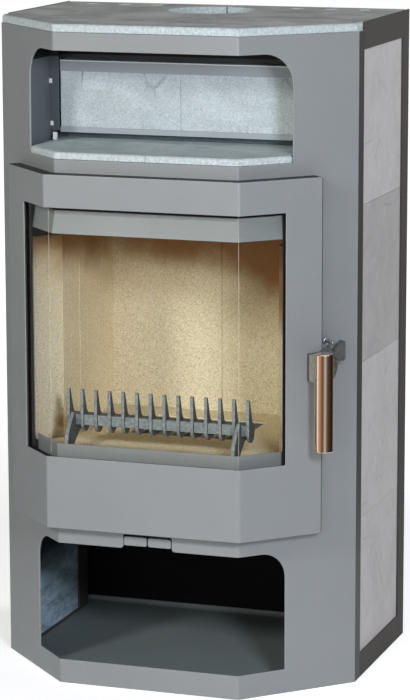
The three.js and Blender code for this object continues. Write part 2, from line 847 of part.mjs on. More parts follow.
function fireboxBody() {
  const out = fireboxHalf + plate;
  const backOut = fireboxRear + plate;
  const faceT = -sheet - seat;
  const chamberBottom = ashOpeningBottom - plate;
  const sidePlan = [
    [fireboxHalf, facetYAt(fireboxHalf, faceT)], [out, facetYAt(out, faceT)],
    [out, backOut], [fireboxHalf, backOut],
  ];
  const side = prism(sidePlan, floorPlateTop - plate, fireboxTop);
  const rear = block(-out, out, fireboxRear, backOut, floorPlateTop - plate, fireboxTop);
  const plan = cabinetPlan(-faceT, out, backOut);
  const floor = prism(plan, floorPlateTop - plate, floorPlateTop);
  const roof = prism(plan, fireboxTop - plate, fireboxTop);
  const reach = (out - foldX - faceT * Math.sin(facetAngle)) / Math.cos(facetAngle);
  const apron = cut(
    foldedPlate(faceT - plate, faceT, reach, chamberBottom, hearth),
    block(-ashOpeningHalfWidth, ashOpeningHalfWidth, frontY, frontY + 20, ashOpeningBottom, ashOpeningTop),
  );
  const header = foldedPlate(faceT - plate, faceT, reach, windowTop - 15, fireboxTop);
  const grateHole = block(
    -grateHalfWidth + grateLedge, grateHalfWidth - grateLedge,
    rearY - grateFromRear - grateDepth + grateLedge, rearY - grateFromRear - grateLedge,
    floorPlateTop - plate - 2, floorPlateTop + 2,
  );
  const flueHole = upright(collarInner, 0, flueY, fireboxTop - plate - 2, fireboxTop + 2, 48);
  return cut(
    join(side, mirrored(side), rear, floor, roof, apron, header), grateHole, flueHole,
  );
}

// Open-topped box below the hearth that takes the ash pan
function ashChamber() {
  const chamberBottom = ashOpeningBottom - plate;
  const front = frontY + sheet + 2 * seat + plate;
  const back = frontY + ashChamberDepth;
  const top = floorPlateTop - plate - seat;
  return cut(
    block(-ashChamberHalfWidth, ashChamberHalfWidth, front, back, chamberBottom, top),
    block(
      -ashChamberHalfWidth + plate, ashChamberHalfWidth - plate, front - 5, back - plate,
      ashOpeningBottom, top + 5,
    ),
  );
}

function flueCollar() {
  const base = fireboxTop + seat;
  const top = slabTop - collarBelowSlabTop;
  const profile = [
    [collarInner, base], [collarOuter + collarFlange, base], [collarOuter + collarFlange, base + plate],
    [collarOuter, base + plate], [collarOuter, top], [collarInner, top], [collarInner, base],
  ].map(([r, z]) => new THREE.Vector2(r, z));
  return new THREE.LatheGeometry(profile, 48).rotateX(Math.PI / 2).translate(0, flueY, 0);
}

// Lining: the reveal stands square to the outer facet, then the side wall runs to the rear corner
const liningFrontT = -sheet - 2 * seat;
const revealFront = onFacet(revealReach, liningFrontT);
const revealBack = onFacet(revealReach, liningFrontT - revealDepth);
const rearWallY = fireboxRear - seat - rearBrickThickness;
const cornerX = fireboxHalf - rearWallInset;
const liningSideX = fireboxHalf - seat;
const frontBrickCornerY = facetYAt(liningSideX, liningFrontT);
const liningBottom = hearth + seat;

function sideWallX(y) {
  const share = (y - revealBack[1]) / (rearWallY - revealBack[1]);
  return revealBack[0] + share * (cornerX - revealBack[0]);
}

function frontSideBrick() {
  return prism([
    revealFront, [liningSideX, frontBrickCornerY],
    [liningSideX, frontBrickCornerY + frontBrickSide], revealBack,
  ], liningBottom, liningTop);
}

function sideBrick(y0, y1, outerY0 = y0) {
  return prism(
    [[sideWallX(y0), y0], [liningSideX, outerY0], [liningSideX, y1], [sideWallX(y1), y1]],
    liningBottom, liningTop,
  );
}

function rearBrick() {
  return block(
    tileJoint / 2, liningSideX, rearWallY, rearWallY + rearBrickThickness, liningBottom, liningTop,
  );
}

function grateBox() {
  const back = rearY - grateFromRear;
  return { front: back - grateDepth, back };
}

// Right half of the hearth, with its share of the recess for the grate
function floorBrick() {
  const { front, back } = grateBox();
  const seam = tileJoint / 2;
  const inset = -liningFrontT + plate;
  const rear = rearWallY + rearBrickThickness;
  const plan = [
    [seam, frontY + inset], [foldX - inset * foldShift, frontY + inset],
    [liningSideX, facetYAt(liningSideX, -inset)], [liningSideX, rear], [seam, rear],
    [seam, back + seat], [grateHalfWidth + seat, back + seat],
    [grateHalfWidth + seat, front - seat], [seam, front - seat],
  ];
  return prism(plan, hearth - floorBrickThickness, hearth);
}

function grate() {
  const { front, back } = grateBox();
  const bottom = floorPlateTop + seat;
  const slots = [];
  const pitch = (2 * (grateHalfWidth - grateRim)) / grateSlots;
  for (let i = 0; i < grateSlots; i += 1) {
    const x = (i - (grateSlots - 1) / 2) * pitch;
    slots.push(block(
      x - grateSlotWidth / 2, x + grateSlotWidth / 2, front + grateRim, back - grateRim,
      bottom - 2, bottom + grateThickness + 2,
    ));
  }
  return cut(
    block(-grateHalfWidth, grateHalfWidth, front, back, bottom, bottom + grateThickness), ...slots,
  );
}

function bafflePlate() {
  const back = rearWallY + rearBrickThickness;
  const half = liningSideX - seat;
  return block(-half, half, back - baffleDepth, back, liningTop + seat, liningTop + seat + baffleThickness);
}

function ashPan() {
  const half = ashChamberHalfWidth - plate - ashPanClearance;
  const front = frontY + 12;
  const back = front + ashPanLength;
  const bottom = ashOpeningBottom + seat;
  const tray = cut(
    block(-half, half, front, back, bottom, bottom + ashPanHeight),
    block(-half + panSheet, half - panSheet, front + panSheet, back - panSheet,
      bottom + panSheet, bottom + ashPanHeight + 5),
  );
  const lipTop = bottom + ashPanHeight;
  const lip = join(
    block(-22, 22, front - 9, front + overlap, lipTop - panSheet, lipTop),
    block(-22, 22, front - 9, front - 9 + panSheet, lipTop - 10, lipTop),
  );
  return join(tray, lip);
}

// ---------------------------------------------------------------- behind the glass

// Upright lip in front of the hearth, on the firebox's apron
function hearthBand() {
  return foldedPlate(-sheet, 0, bandReach, hearth + lowerBandLip - lowerBandHeight, hearth + lowerBandLip);
}

// Air deflector that leans towards the glass at its lower edge
function airDeflector() {
  const top = windowTop - deflectorBelowWindowTop;
  const bend = top - 6;
  const bottom = top - deflectorHeight;
  const loop = (t) => [...frontRow(t, bandReach), ...frontRow(t - sheet, bandReach).reverse()];
  return stack([[bottom, loop(deflectorLean)], [bend, loop(0)], [top, loop(0)]]);
}

// ---------------------------------------------------------------- log retainer

const barFrontY = frontY + retainerFromFront + 3;
const barBackY = barFrontY + 22;

function finShape() {
  const front = frontY + retainerFromFront;
  const shape = new THREE.Shape();
  shape.moveTo(front, hearth + barBottom + 2);
  shape.lineTo(front, hearth + finTop - 1.5);
  shape.quadraticCurveTo(front, hearth + finTop, front + 1.5, hearth + finTop);
  shape.lineTo(front + 3.5, hearth + finTop);
  shape.quadraticCurveTo(front + 5, hearth + finTop, front + 5.5, hearth + finTop - 2);
  shape.lineTo(front + 17, hearth + barBottom + barHeight + 8);
  shape.quadraticCurveTo(
    front + 19.5, hearth + barBottom + barHeight + 1, front + 30, hearth + barBottom + barHeight - 2,
  );
  shape.quadraticCurveTo(front + 33, hearth + barBottom + 4, front + 26, hearth + finTip + 5);
  shape.quadraticCurveTo(front + 19, hearth + finTip - 2, front + 11, hearth + finTip + 1);
  shape.quadraticCurveTo(front + 2, hearth + finTip + 5, front, hearth + barBottom + 2);
  return shape;
}

function logRetainer() {
  const end = ((finCount - 1) / 2) * finPitch;
  let casting = toSolid(block(
    -end, end, barFrontY, barBackY, hearth + barBottom, hearth + barBottom + barHeight,
  ));
  const fin = new THREE.ExtrudeGeometry(finShape(), {
    depth: finThickness, bevelEnabled: false, curveSegments: 4,
  });
  const place = new THREE.Matrix4().makeBasis(
    new THREE.Vector3(0, 1, 0), new THREE.Vector3(0, 0, 1), new THREE.Vector3(1, 0, 0),
  );
  fin.applyMatrix4(place);
  for (let i = 0; i < finCount; i += 1) {
    const x = -end + i * finPitch - finThickness / 2;
    casting = casting.add(toSolid(fin.clone().translate(x, 0, 0)));
  }
  return toGeometry(casting);
}

// Leaning foot with a cradle for the bar
function retainerLeg() {
  const cradle = hearth + barBottom - seat;
  const prongTop = hearth + legTop;
  const prongBack = barFrontY - 8.7;
  const prongFront = prongBack - 6.6;
  const foot = hearth + seat;
  const toe = frontY + legToe;
  const heel = toe + 25;
  const x = ((finCount - 1) / 2) * finPitch - finPitch / 2;
  const shape = outline([
    [toe, foot], [heel, foot], [barFrontY + 9, cradle - 11], [barBackY + 3, cradle - 8],
    [barBackY + 3, cradle], [prongBack + 1.8, cradle], [prongBack, prongTop - 1.5],
    [prongBack - 1.5, prongTop], [prongFront + 1.5, prongTop], [prongFront, prongTop - 1.5],
    [prongFront - 11, prongTop - 12], [toe + 8, foot + 30],
  ]);
  return sidePrism(shape, x - legThickness / 2, x + legThickness / 2);
}

// ---------------------------------------------------------------- door

function hingeHeights() {
  return [doorBottom + hingeFromEnds, doorTop - hingeFromEnds - hingeLugThickness - hingePinLength];
}

// Tools that round the door's four outer corners
function cornerTools() {
  const r = doorRadius;
  const tool = (z, up) => {
    const shape = new THREE.Shape();
    const edge = doorReach + 1;
    const arcZ = z - up * r;
    shape.moveTo(doorReach - r, z + up);
    shape.lineTo(edge, z + up);
    shape.lineTo(edge, arcZ);
    shape.lineTo(doorReach, arcZ);
    for (let i = 1; i <= arcSteps; i += 1) {
      const angle = (i / arcSteps) * (Math.PI / 2);
      shape.lineTo(doorReach - r + r * Math.cos(angle), arcZ + up * r * Math.sin(angle));
    }
    return facetPrism(shape, doorBack - 5, doorFront + 5);
  };
  const right = [tool(doorTop, 1), tool(doorBottom, -1)];
  return [...right, ...right.map(mirrored)];
}

function doorFrame() {
  const skinBack = doorFront - doorSkin;
  const box = cut(
    foldedPlate(doorBack, doorFront, doorReach, doorBottom, doorTop),
    foldedPlate(doorBack - 5, skinBack, doorReach - doorSkin, doorBottom + doorSkin, doorTop - doorSkin),
  );
  // Inner frame that carries the rope: a flat ring and an upstand to the skin
  const ringBack = ropeThickness + 2 * seat;
  const ringZ = [doorBottom + doorSkin - overlap, doorTop - doorSkin + overlap];
  const holeZ = [doorBottom + 17.5, doorTop - 17.5];
  const ring = foldedRing(ringBack, ringBack + 2, ropeReach + 11, ropeReach - 2, ringZ, holeZ);
  const upstand = foldedRing(
    ringBack + 1, skinBack + overlap, ropeReach, ropeReach - 2,
    [holeZ[0] - 2, holeZ[1] + 2], holeZ,
  );
  const knuckles = hingeHeights().map((z) => {
    const bottom = z + hingeLugThickness + overlap;
    const body = facetPrism(
      rectangle(hingeReach - 6, doorReach - doorSkin + overlap, bottom, bottom + hingePinLength),
      hingeOut - 5, skinBack + overlap,
    );
    return mirrored(body);
  });
  const [hingeX, hingeY] = mirrorPoint(onFacet(hingeReach, hingeOut));
  const bores = hingeHeights().map((z) => upright(
    hingePinRadius + hingeBoreClearance, hingeX, hingeY,
    z, z + hingeLugThickness + hingePinLength + 5, 16,
  ));
  const lugSlots = hingeHeights().map((z) => mirrored(facetPrism(
    rectangle(doorReach - doorSkin - 0.4, doorReach + 2, z - 1, z + hingeLugThickness + 1),
    doorBack - 2, skinBack,
  )));
  const window = openingTool(windowReach, windowBottom, windowTop, 2, 2, ringBack - 5, doorFront + 5);
  const stud = facetPrism(
    new THREE.Shape().absarc(pivotReach, pivotZ, studRadius + studClearance, 0, 2 * Math.PI, false),
    skinBack - 3, doorFront + 3,
  );
  return cut(
    join(cut(box, window), ring, upstand, ...knuckles),
    ...bores, ...lugSlots, ...cornerTools(), stud,
  );
}

function doorRope() {
  return foldedRing(
    seat, seat + ropeThickness, ropeReach + ropeWidth, ropeReach,
    [doorBottom + 5, doorTop - 5], [doorBottom + 5 + ropeWidth, doorTop - 5 - ropeWidth],
  );
}

function paneSpan() {
  return [windowBottom - glassLap, windowTop + glassLap];
}

function centrePane() {
  const back = glassFront - glassThickness;
  const edge = (t) => foldX + t * foldShift - glassSeam / 2;
  return prism([
    [-edge(glassFront), frontY - glassFront], [edge(glassFront), frontY - glassFront],
    [edge(back), frontY - back], [-edge(back), frontY - back],
  ], ...paneSpan());
}

function sidePane() {
  const back = glassFront - glassThickness;
  const start = (t) => onFacet(-t * foldShift + glassSeam / 2, t);
  return prism(
    [start(glassFront), onFacet(glassReach, glassFront), onFacet(glassReach, back), start(back)],
    ...paneSpan(),
  );
}

function glassSeal() {
  const [low, high] = paneSpan();
  return foldedRing(
    glassFront + seat, doorFront - doorSkin - seat, glassReach, windowReach + 3.5,
    [low, high], [windowBottom - 4, windowTop + 4],
  );
}

// Ring that presses the panes against the skin, on short posts beside the glass
function glassClamp() {
  const front = glassFront - glassThickness - seat;
  const ring = foldedRing(
    front - clampThickness, front, clampReach, windowReach + clampShow,
    [windowBottom - clampLap, windowTop + clampLap], [windowBottom - 4, windowTop + 4],
  );
  const posts = [];
  const postS = [glassReach + 6, glassReach + 12];
  const count = 4;
  for (let i = 0; i < count; i += 1) {
    const z = windowBottom + ((windowTop - windowBottom) * (i + 0.5)) / count;
    const post = facetPrism(
      rectangle(postS[0], postS[1], z - 4, z + 4), front - overlap, doorFront - doorSkin - seat,
    );
    posts.push(post, mirrored(post));
  }
  return join(ring, ...posts);
}

// Lug through the front sheet, welded behind it, with the pin that the door hangs on
function hingeBracket(z) {
  const backT = -sheet - seat;
  const plan = [];
  const steps = 8;
  for (let i = 0; i <= steps; i += 1) {
    const angle = Math.PI * (i / steps);
    plan.push(onFacet(
      hingeReach + hingeLugHalfWidth * Math.cos(angle), hingeOut + hingeLugHalfWidth * Math.sin(angle),
    ));
  }
  plan.push(onFacet(hingeReach - hingeLugHalfWidth, backT - 1));
  plan.push(onFacet(hingeReach + hingeLugHalfWidth, backT - 1));
  const lug = prism(plan, z, z + hingeLugThickness);
  const weldPlate = facetPrism(
    rectangle(
      hingeReach - hingeLugHalfWidth, hingeReach + weldPlateReach,
      z - weldPlateReach, z + hingeLugThickness + weldPlateReach,
    ),
    backT - sheet, backT,
  );
  const [x, y] = onFacet(hingeReach, hingeOut);
  const pin = upright(
    hingePinRadius, x, y, z + hingeLugThickness - overlap, z + hingeLugThickness + hingePinLength, 16,
  );
  return mirrored(join(lug, weldPlate, pin));
}

// ---------------------------------------------------------------- latch, on the right facet

// Local x runs along the facet from the fold, -y out of it
const rightFacet = new THREE.Group();
rightFacet.position.set(foldX, frontY, 0);
rightFacet.rotation.z = facetAngle;
stove.add(rightFacet);

// Local x from the pivot, -y out of the facet, z from the pivot
const latchGroup = new THREE.Group();
latchGroup.position.set(pivotReach, 0, pivotZ);
rightFacet.add(latchGroup);

const leverBack = doorFront + leverGap;
const leverFront = leverBack + leverThickness;

// Shape in (x, z) of the latch, from tBack to tFront
function latchPrism(shape, tBack, tFront) {
  return new THREE.ExtrudeGeometry(shape, {
    depth: tFront - tBack, bevelEnabled: false, curveSegments: arcSteps,
  }).rotateX(Math.PI / 2).translate(0, -tBack, 0);
}

function latchRod(radius, tBack, tFront, sides) {
  return new THREE.CylinderGeometry(radius, radius, tFront - tBack, sides)
    .translate(0, -(tBack + tFront) / 2, 0);
}

// Cheek round the pivot, hook with an open notch for the catch pin, and the pivot stud
function latchLever() {
  const half = neckWidth / 2;
  const cheekStart = -0.02;
  const cheekEnd = -Math.PI / 4;
  const cheek = new THREE.Shape();
  cheek.moveTo(-half, neckBottom);
  cheek.lineTo(-half, neckTop);
  cheek.lineTo(half + 8, neckTop + 2);
  cheek.lineTo(catchAlong - 13, catchAbove - 5);
  cheek.lineTo(catchAlong - 11.5, catchAbove - 1);
  cheek.lineTo(catchAlong - 8.2, catchAbove - 1);
  cheek.lineTo(catchAlong - 3.5, catchAbove - 12);
  cheek.lineTo(cheekRadius - 1, 0);
  cheek.absarc(0, 0, cheekRadius, cheekStart, cheekEnd, true);
  cheek.closePath();
  const nose = new THREE.Shape();
  nose.moveTo(catchAlong - 5.5, catchAbove - 14);
  nose.lineTo(catchAlong - 3.5, catchAbove - 12);
  nose.lineTo(catchAlong + 11.5, catchAbove + 5);
  nose.lineTo(catchAlong + 16.8, catchAbove + 4);
  nose.lineTo(catchAlong + 17.4, catchAbove - 22);
  nose.quadraticCurveTo(catchAlong + 16.5, catchAbove - 28.5, catchAlong + 11, catchAbove - 28.7);
  nose.quadraticCurveTo(catchAlong + 3, catchAbove - 28.7, catchAlong - 1, catchAbove - 22);
  nose.closePath();
  return join(
    latchPrism(cheek, leverBack, leverFront),
    latchPrism(nose, leverBack, leverBack + noseThickness),
    latchRod(studRadius, doorFront - doorSkin - nutThickness - 2 * seat - 2, leverBack + overlap, 24),
    latchRod(nutRadius, doorFront - doorSkin - nutThickness - seat, doorFront - doorSkin - seat, 6),
  );
}

// Block between the lever and the grip, hollowed to the grip's round
function handleNeck() {
  const half = neckWidth / 2;
  const front = gripOut - gripRadius / 2;
  const body = latchPrism(
    rectangle(-half, half, neckBottom, neckTop), leverFront + seat, front,
  );
  const saddle = upright(gripRadius + seat, 0, -gripOut, neckBottom - 5, neckTop + 5, 40);
  return cut(body, saddle);
}

// Tube closed at its upper end and open below
function gripTube() {
  const top = gripAbovePivot;
  const bottom = top - gripLength;
  const inner = gripRadius - gripWall;
  const profile = [
    [0, top], [0, top - gripWall], [inner, top - gripWall], [inner, bottom], [gripRadius - 0.6, bottom],
    [gripRadius, bottom + 0.6], [gripRadius, top - 1.5], [gripRadius - 1.5, top], [0, top],
  ].map(([r, z]) => new THREE.Vector2(r, z));
  return new THREE.LatheGeometry(profile, 40).rotateX(Math.PI / 2).translate(0, -gripOut, 0);
}

// Pin and collar on the front sheet beside the door
function catchPin() {
  return join(
    latchRod(catchRadius, seat, leverBack + catchHold, 20),
    latchRod(catchRadius + 4, seat, seat + 4, 20),
  ).translate(catchAlong, 0, catchAbove);
}

// ---------------------------------------------------------------- scene

add('base_plate', basePlate(), darkPaint);
add('front_shell', frontShell(), paint);
addPair('side_frame', sideFrame(), paint);
addPair('tile_channel', tileChannel(), darkPaint);
const { bottom: tileBottom, height: tileHeight } = tileStack();
for (let i = 0; i < tilesPerSide; i += 1) {
  const z = tileBottom + i * (tileHeight + tileJoint);
  addPair(
    `side_tile_${i + 1}`,
    block(tileInnerX, tileOuterX, tileFrontY, tileRearY, z, z + tileHeight),
    soapstone,
  );
}
add('rear_panel', rearPanel(), darkPaint);
add('top_slab', topSlab(), soapstone);

add('compartment_liner', compartmentLiner(), darkPaint);
addPair('shelf_slab', shelfHalf(), soapstone);
add('tile_rail_upper', upperRail(), paint);
add('tile_rail_lower', lowerRail(), paint);
addPair('back_tile', backTile(), soapstone);

add('firebox_shelf', fireboxShelf(), blackPaint);
add('firebox_body', fireboxBody(), blackPaint);
add('ash_chamber', ashChamber(), blackPaint);
add('flue_collar', flueCollar(), blackPaint);
addPair('side_brick_front', frontSideBrick(), fireBrick);
const sideJointY = frontY + sideJointDepth;
addPair(
  'side_brick_middle',
  sideBrick(
    revealBack[1] + seat, sideJointY - tileJoint / 2, frontBrickCornerY + frontBrickSide + seat,
  ),
  fireBrick,
);
addPair('side_brick_rear', sideBrick(sideJointY + tileJoint / 2, rearWallY - seat), fireBrick);
addPair('rear_brick', rearBrick(), fireBrick);
addPair('floor_brick', floorBrick(), fireBrick);
add('baffle_plate', bafflePlate(), fireBrick);
add('grate', grate(), castIron);
add('ash_pan', ashPan(), steel);
add('hearth_band', hearthBand(), paint);
add('air_deflector', airDeflector(), paint);
add('log_retainer', logRetainer(), castIron);
addPair('retainer_leg', retainerLeg(), castIron);

const slide = airSlide();
add('secondary_air_slide', slide, paint);
add('primary_air_slide', mirrored(slide), paint);

const [lowerHinge, upperHinge] = hingeHeights();
add('hinge_bracket_lower', hingeBracket(lowerHinge), steel);
add('hinge_bracket_upper', hingeBracket(upperHinge), steel);
add('door_frame', doorFrame(), paint);
add('door_rope', doorRope(), ropeFibre);
add('glass_centre', centrePane(), glass);
addPair('glass', sidePane(), glass);
add('glass_seal', glassSeal(), ropeFibre);
add('glass_clamp', glassClamp(), darkPaint);

add('latch_lever', latchLever(), castIron, latchGroup);
add('handle_neck', handleNeck(), castIron, latchGroup);
add('grip_tube', gripTube(), chrome, latchGroup);
add('catch_pin', catchPin(), steel, latchGroup);

export default stove;
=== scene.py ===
"""Looks of the tiled stove: materials, rounded edges, small parts, light and camera.

Metres, with +Z up and the front towards -Y. Sizes given in millimetres are multiplied by MM.
"""

import json
import math

import bmesh
import bpy
from mathutils import Matrix, Vector

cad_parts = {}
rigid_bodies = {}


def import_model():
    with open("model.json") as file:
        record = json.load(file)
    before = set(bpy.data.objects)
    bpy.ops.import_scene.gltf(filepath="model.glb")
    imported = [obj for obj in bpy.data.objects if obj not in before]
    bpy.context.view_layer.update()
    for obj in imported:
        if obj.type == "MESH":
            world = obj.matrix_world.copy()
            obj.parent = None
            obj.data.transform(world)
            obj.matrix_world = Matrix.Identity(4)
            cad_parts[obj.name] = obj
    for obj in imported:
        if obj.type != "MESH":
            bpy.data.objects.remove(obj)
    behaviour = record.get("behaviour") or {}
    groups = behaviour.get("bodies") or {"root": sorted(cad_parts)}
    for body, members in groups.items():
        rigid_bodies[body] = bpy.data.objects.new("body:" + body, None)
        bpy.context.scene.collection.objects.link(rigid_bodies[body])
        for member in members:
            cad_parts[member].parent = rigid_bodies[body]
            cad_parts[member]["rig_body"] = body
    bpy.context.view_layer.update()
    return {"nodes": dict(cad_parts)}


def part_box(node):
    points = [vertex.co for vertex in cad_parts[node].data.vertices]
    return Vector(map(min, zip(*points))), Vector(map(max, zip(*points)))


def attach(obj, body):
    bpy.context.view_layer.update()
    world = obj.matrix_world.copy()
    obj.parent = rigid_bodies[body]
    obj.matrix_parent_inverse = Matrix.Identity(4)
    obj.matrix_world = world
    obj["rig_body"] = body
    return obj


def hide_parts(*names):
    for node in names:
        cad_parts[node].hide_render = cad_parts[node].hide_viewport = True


MM = 0.001
WHITE = (1, 1, 1, 1)

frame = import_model()
nodes = frame["nodes"]


# ---------------------------------------------------------------- colour and node helpers


def srgb(red, green, blue):
    """Linear colour from the usual 0 to 255 values."""

    def linear(value):
        value /= 255
        return value / 12.92 if value <= 0.04045 else ((value + 0.055) / 1.055) ** 2.4

    return (linear(red), linear(green), linear(blue), 1.0)


class Surface:
    """A node material that is built up step by step."""

    # Places of the colour sockets on Blender's Mix node
    COLOUR_A, COLOUR_B, COLOUR_OUT = 6, 7, 2

    def __init__(self, name, colour, roughness, metallic=0.0, specular=0.5):
        self.material = bpy.data.materials.new(name)
        self.material.use_nodes = True
        self.tree = self.material.node_tree
        self.shader = self.tree.nodes["Principled BSDF"]
        self.shader.inputs["Base Color"].default_value = colour
        self.shader.inputs["Roughness"].default_value = roughness
        self.shader.inputs["Metallic"].default_value = metallic
        self.shader.inputs["Specular IOR Level"].default_value = specular
        self.material.diffuse_color = colour

    def add(self, kind, **settings):
        """A new node with these settings."""
        node = self.tree.nodes.new(kind)
        for key, value in settings.items():
            setattr(node, key, value)
        return node

    def feed(self, socket, value):
        """Links a socket to a node's output, or sets it to a plain value."""
        if isinstance(value, bpy.types.NodeSocket):
            self.tree.links.new(value, socket)
        else:
            socket.default_value = value

    def drive(self, name, value):
        """Feeds an input of the shader."""
        self.feed(self.shader.inputs[name], value)

    def point(self, stretch=(1, 1, 1), shift=(0, 0, 0), turn=(0, 0, 0)):
        """Place on the object, stretched, turned and shifted for a texture."""
        place = self.add("ShaderNodeTexCoord").outputs["Object"]
        mapping = self.add("ShaderNodeMapping")
        self.feed(mapping.inputs["Vector"], place)
        mapping.inputs["Location"].default_value = shift
        mapping.inputs["Rotation"].default_value = turn
        mapping.inputs["Scale"].default_value = stretch
        return mapping.outputs["Vector"]

    def noise(self, scale, detail=4, roughness=0.55, point=None, distortion=0.0):
        node = self.add("ShaderNodeTexNoise")
        self.feed(node.inputs["Vector"], point or self.point())
        node.inputs["Scale"].default_value = scale
        node.inputs["Detail"].default_value = detail
        node.inputs["Roughness"].default_value = roughness
        node.inputs["Distortion"].default_value = distortion
        return node.outputs["Fac"]

    def cells(self, scale, feature="F1", output="Color", point=None):
        """Voronoi cells."""
        node = self.add("ShaderNodeTexVoronoi", feature=feature)
        self.feed(node.inputs["Vector"], point or self.point())
        node.inputs["Scale"].default_value = scale
        return node.outputs[output]

    def ramp(self, value, *stops):
        """Colour band over 0..1, from pairs of a place and a colour."""
        node = self.add("ShaderNodeValToRGB")
        self.feed(node.inputs["Fac"], value)
        band = node.color_ramp
        while len(band.elements) < len(stops):
            band.elements.new(0.5)
        for element, (place, colour) in zip(band.elements, stops):
            element.position = place
            element.color = colour
        return node.outputs["Color"]

    def mix(self, amount, first, second):
        """The first colour at amount 0, the second at amount 1."""
        node = self.add("ShaderNodeMix", data_type="RGBA")
        self.feed(node.inputs["Factor"], amount)
        self.feed(node.inputs[self.COLOUR_A], first)
        self.feed(node.inputs[self.COLOUR_B], second)
        return node.outputs[self.COLOUR_OUT]

    def math(self, operation, first, second=0.0):
        node = self.add("ShaderNodeMath", operation=operation)
        self.feed(node.inputs[0], first)
        self.feed(node.inputs[1], second)
        return node.outputs["Value"]

    def span(self, value, low, high, out_low=0.0, out_high=1.0):
        """Value from low..high mapped to out_low..out_high, held at both ends."""
        node = self.add("ShaderNodeMapRange")
        self.feed(node.inputs["Value"], value)
        node.inputs["From Min"].default_value = low
        node.inputs["From Max"].default_value = high
        node.inputs["To Min"].default_value = out_low
        node.inputs["To Max"].default_value = out_high
        return node.outputs["Result"]

    def smooth(self, value, low, high):
        """0 below low, 1 above high, eased in between."""
        result = self.span(value, low, high)
        result.node.interpolation_type = "SMOOTHSTEP"
        return result

    def axes(self):
        """Place on the object as three values."""
        node = self.add("ShaderNodeSeparateXYZ")
        self.feed(node.inputs["Vector"], self.point())
        return node.outputs["X"], node.outputs["Y"], node.outputs["Z"]

    def normal_axes(self):
        """The way a face looks, in the piece's own frame."""
        node = self.add("ShaderNodeSeparateXYZ")
        self.feed(node.inputs["Vector"], self.add("ShaderNodeTexCoord").outputs["Normal"])
        return node.outputs["X"], node.outputs["Y"], node.outputs["Z"]

    def scaled(self, colour, factor):
        """Colour times a grey factor. The colour is a node's output or a plain colour."""
        node = self.add("ShaderNodeVectorMath", operation="SCALE")
        self.feed(node.inputs[0], colour[:3] if isinstance(colour, tuple) else colour)
        self.feed(node.inputs["Scale"], factor)
        return node.outputs["Vector"]

    def bump(self, height, distance, strength=1.0, below=None):
        node = self.add("ShaderNodeBump")
        self.feed(node.inputs["Height"], height)
        node.inputs["Distance"].default_value = distance
        node.inputs["Strength"].default_value = strength
        if below is not None:
            self.feed(node.inputs["Normal"], below)
        return node.outputs["Normal"]


# ---------------------------------------------------------------- materials


def shade(colour, factor):
    """A plain colour made lighter or darker."""
    return tuple(min(1.0, factor * c) for c in colour[:3]) + (1.0,)


# Stove paint: its roughness, its metal share and how much its flecks vary
SATIN = 0.55
METALLIC = 0.25
FLECK = 0.07
FINE_FLECK = 0.05


def paint(name, colour, roughness=SATIN, metallic=METALLIC, specular=0.5):
    """Satin stove paint: metal flecks, fine orange peel and slight smudges in its gloss."""
    s = Surface(name, colour, roughness, metallic, specular)
    finish_paint(s, colour, roughness, FLECK)
    return s.material


def finish_paint(s, base, roughness, fleck):
    """Lays flecks, smudges and orange peel over a base colour."""
    smudge = s.noise(9, 3)
    s.drive("Roughness", s.span(smudge, 0.3, 0.7, roughness - 0.04, roughness + 0.06))
    cloud = s.span(s.noise(2.5, 4, 0.6), 0.35, 0.65, 0.95, 1.03)
    dust = s.span(s.noise(1100, 2, 0.7), 0.3, 0.7, 1 - fleck, 1 + fleck)
    s.drive("Base Color", s.scaled(base, s.math("MULTIPLY", cloud, dust)))
    s.drive("Normal", s.bump(s.noise(1400, 2), 0.00004, 0.35))


def door_paint_with_painted_shade(name, colour, sides):
    """Door paint with painted shade: dark on the edges towards the sides, the top and the bottom.
    """
    s = Surface(name, colour, SATIN, METALLIC, 0.3)
    across, _, up = s.normal_axes()
    # Painted shade: faces towards the sides, the top and the bottom go dark, for the shaded gap
    # round the door
    amount = s.math(
        "MAXIMUM", s.span(s.math("ABSOLUTE", across), 0.78, 0.92),
        s.span(s.math("ABSOLUTE", up), 0.5, 0.8),
    )
    finish_paint(s, s.mix(amount, colour, sides), SATIN, FLECK)
    return s.material


def shell_paint(name, colour, sides, highlight_colour):
    """Shell paint: painted shade darkens the folds round the sides, a painted highlight brightens
    the openings' cut edges.
    """
    s = Surface(name, colour, SATIN, METALLIC, 0.3)
    across, _, _ = s.normal_axes()
    place, _, _ = s.axes()
    outward = s.math("MULTIPLY", across, s.math("SIGN", place))
    # Painted shade: faces that look to the sides go dark
    base = s.mix(s.span(s.math("ABSOLUTE", across), 0.86, 0.95), colour, sides)
    # Painted highlight: the openings' cut edges, which face the middle, go bright
    base = s.mix(s.span(outward, -0.75, -0.92), base, highlight_colour)
    finish_paint(s, base, SATIN, FLECK)
    return s.material


def liner_paint(name, walls, front, void, edge_height):
    """Compartment paint with painted shade: darker on the faces to the front, black above the
    liner's top edge.
    """
    s = Surface(name, walls, SATIN, 0.05)
    _, facing, _ = s.normal_axes()
    # Painted shade: faces that look to the front go darker
    base = s.mix(s.span(facing, -0.5, -0.9), walls, front)
    # Painted shade: black above the liner's top edge, for the dark space there
    above = s.span(s.axes()[2], edge_height - 0.6 * MM, edge_height + 0.6 * MM)
    finish_paint(s, s.mix(above, base, void), SATIN, FINE_FLECK)
    return s.material


def rail_paint(name, face, highlight_colour, edge_height):
    """Rail paint, with a painted highlight along the upper rail's top edge."""
    s = Surface(name, face, 0.5, 0.05, 0.3)
    # Painted highlight: the top of the upper rail goes bright
    painted_highlight = s.span(s.axes()[2], edge_height - 2.4 * MM, edge_height - 1.2 * MM)
    finish_paint(s, s.mix(painted_highlight, face, highlight_colour), 0.5, FINE_FLECK)
    return s.material


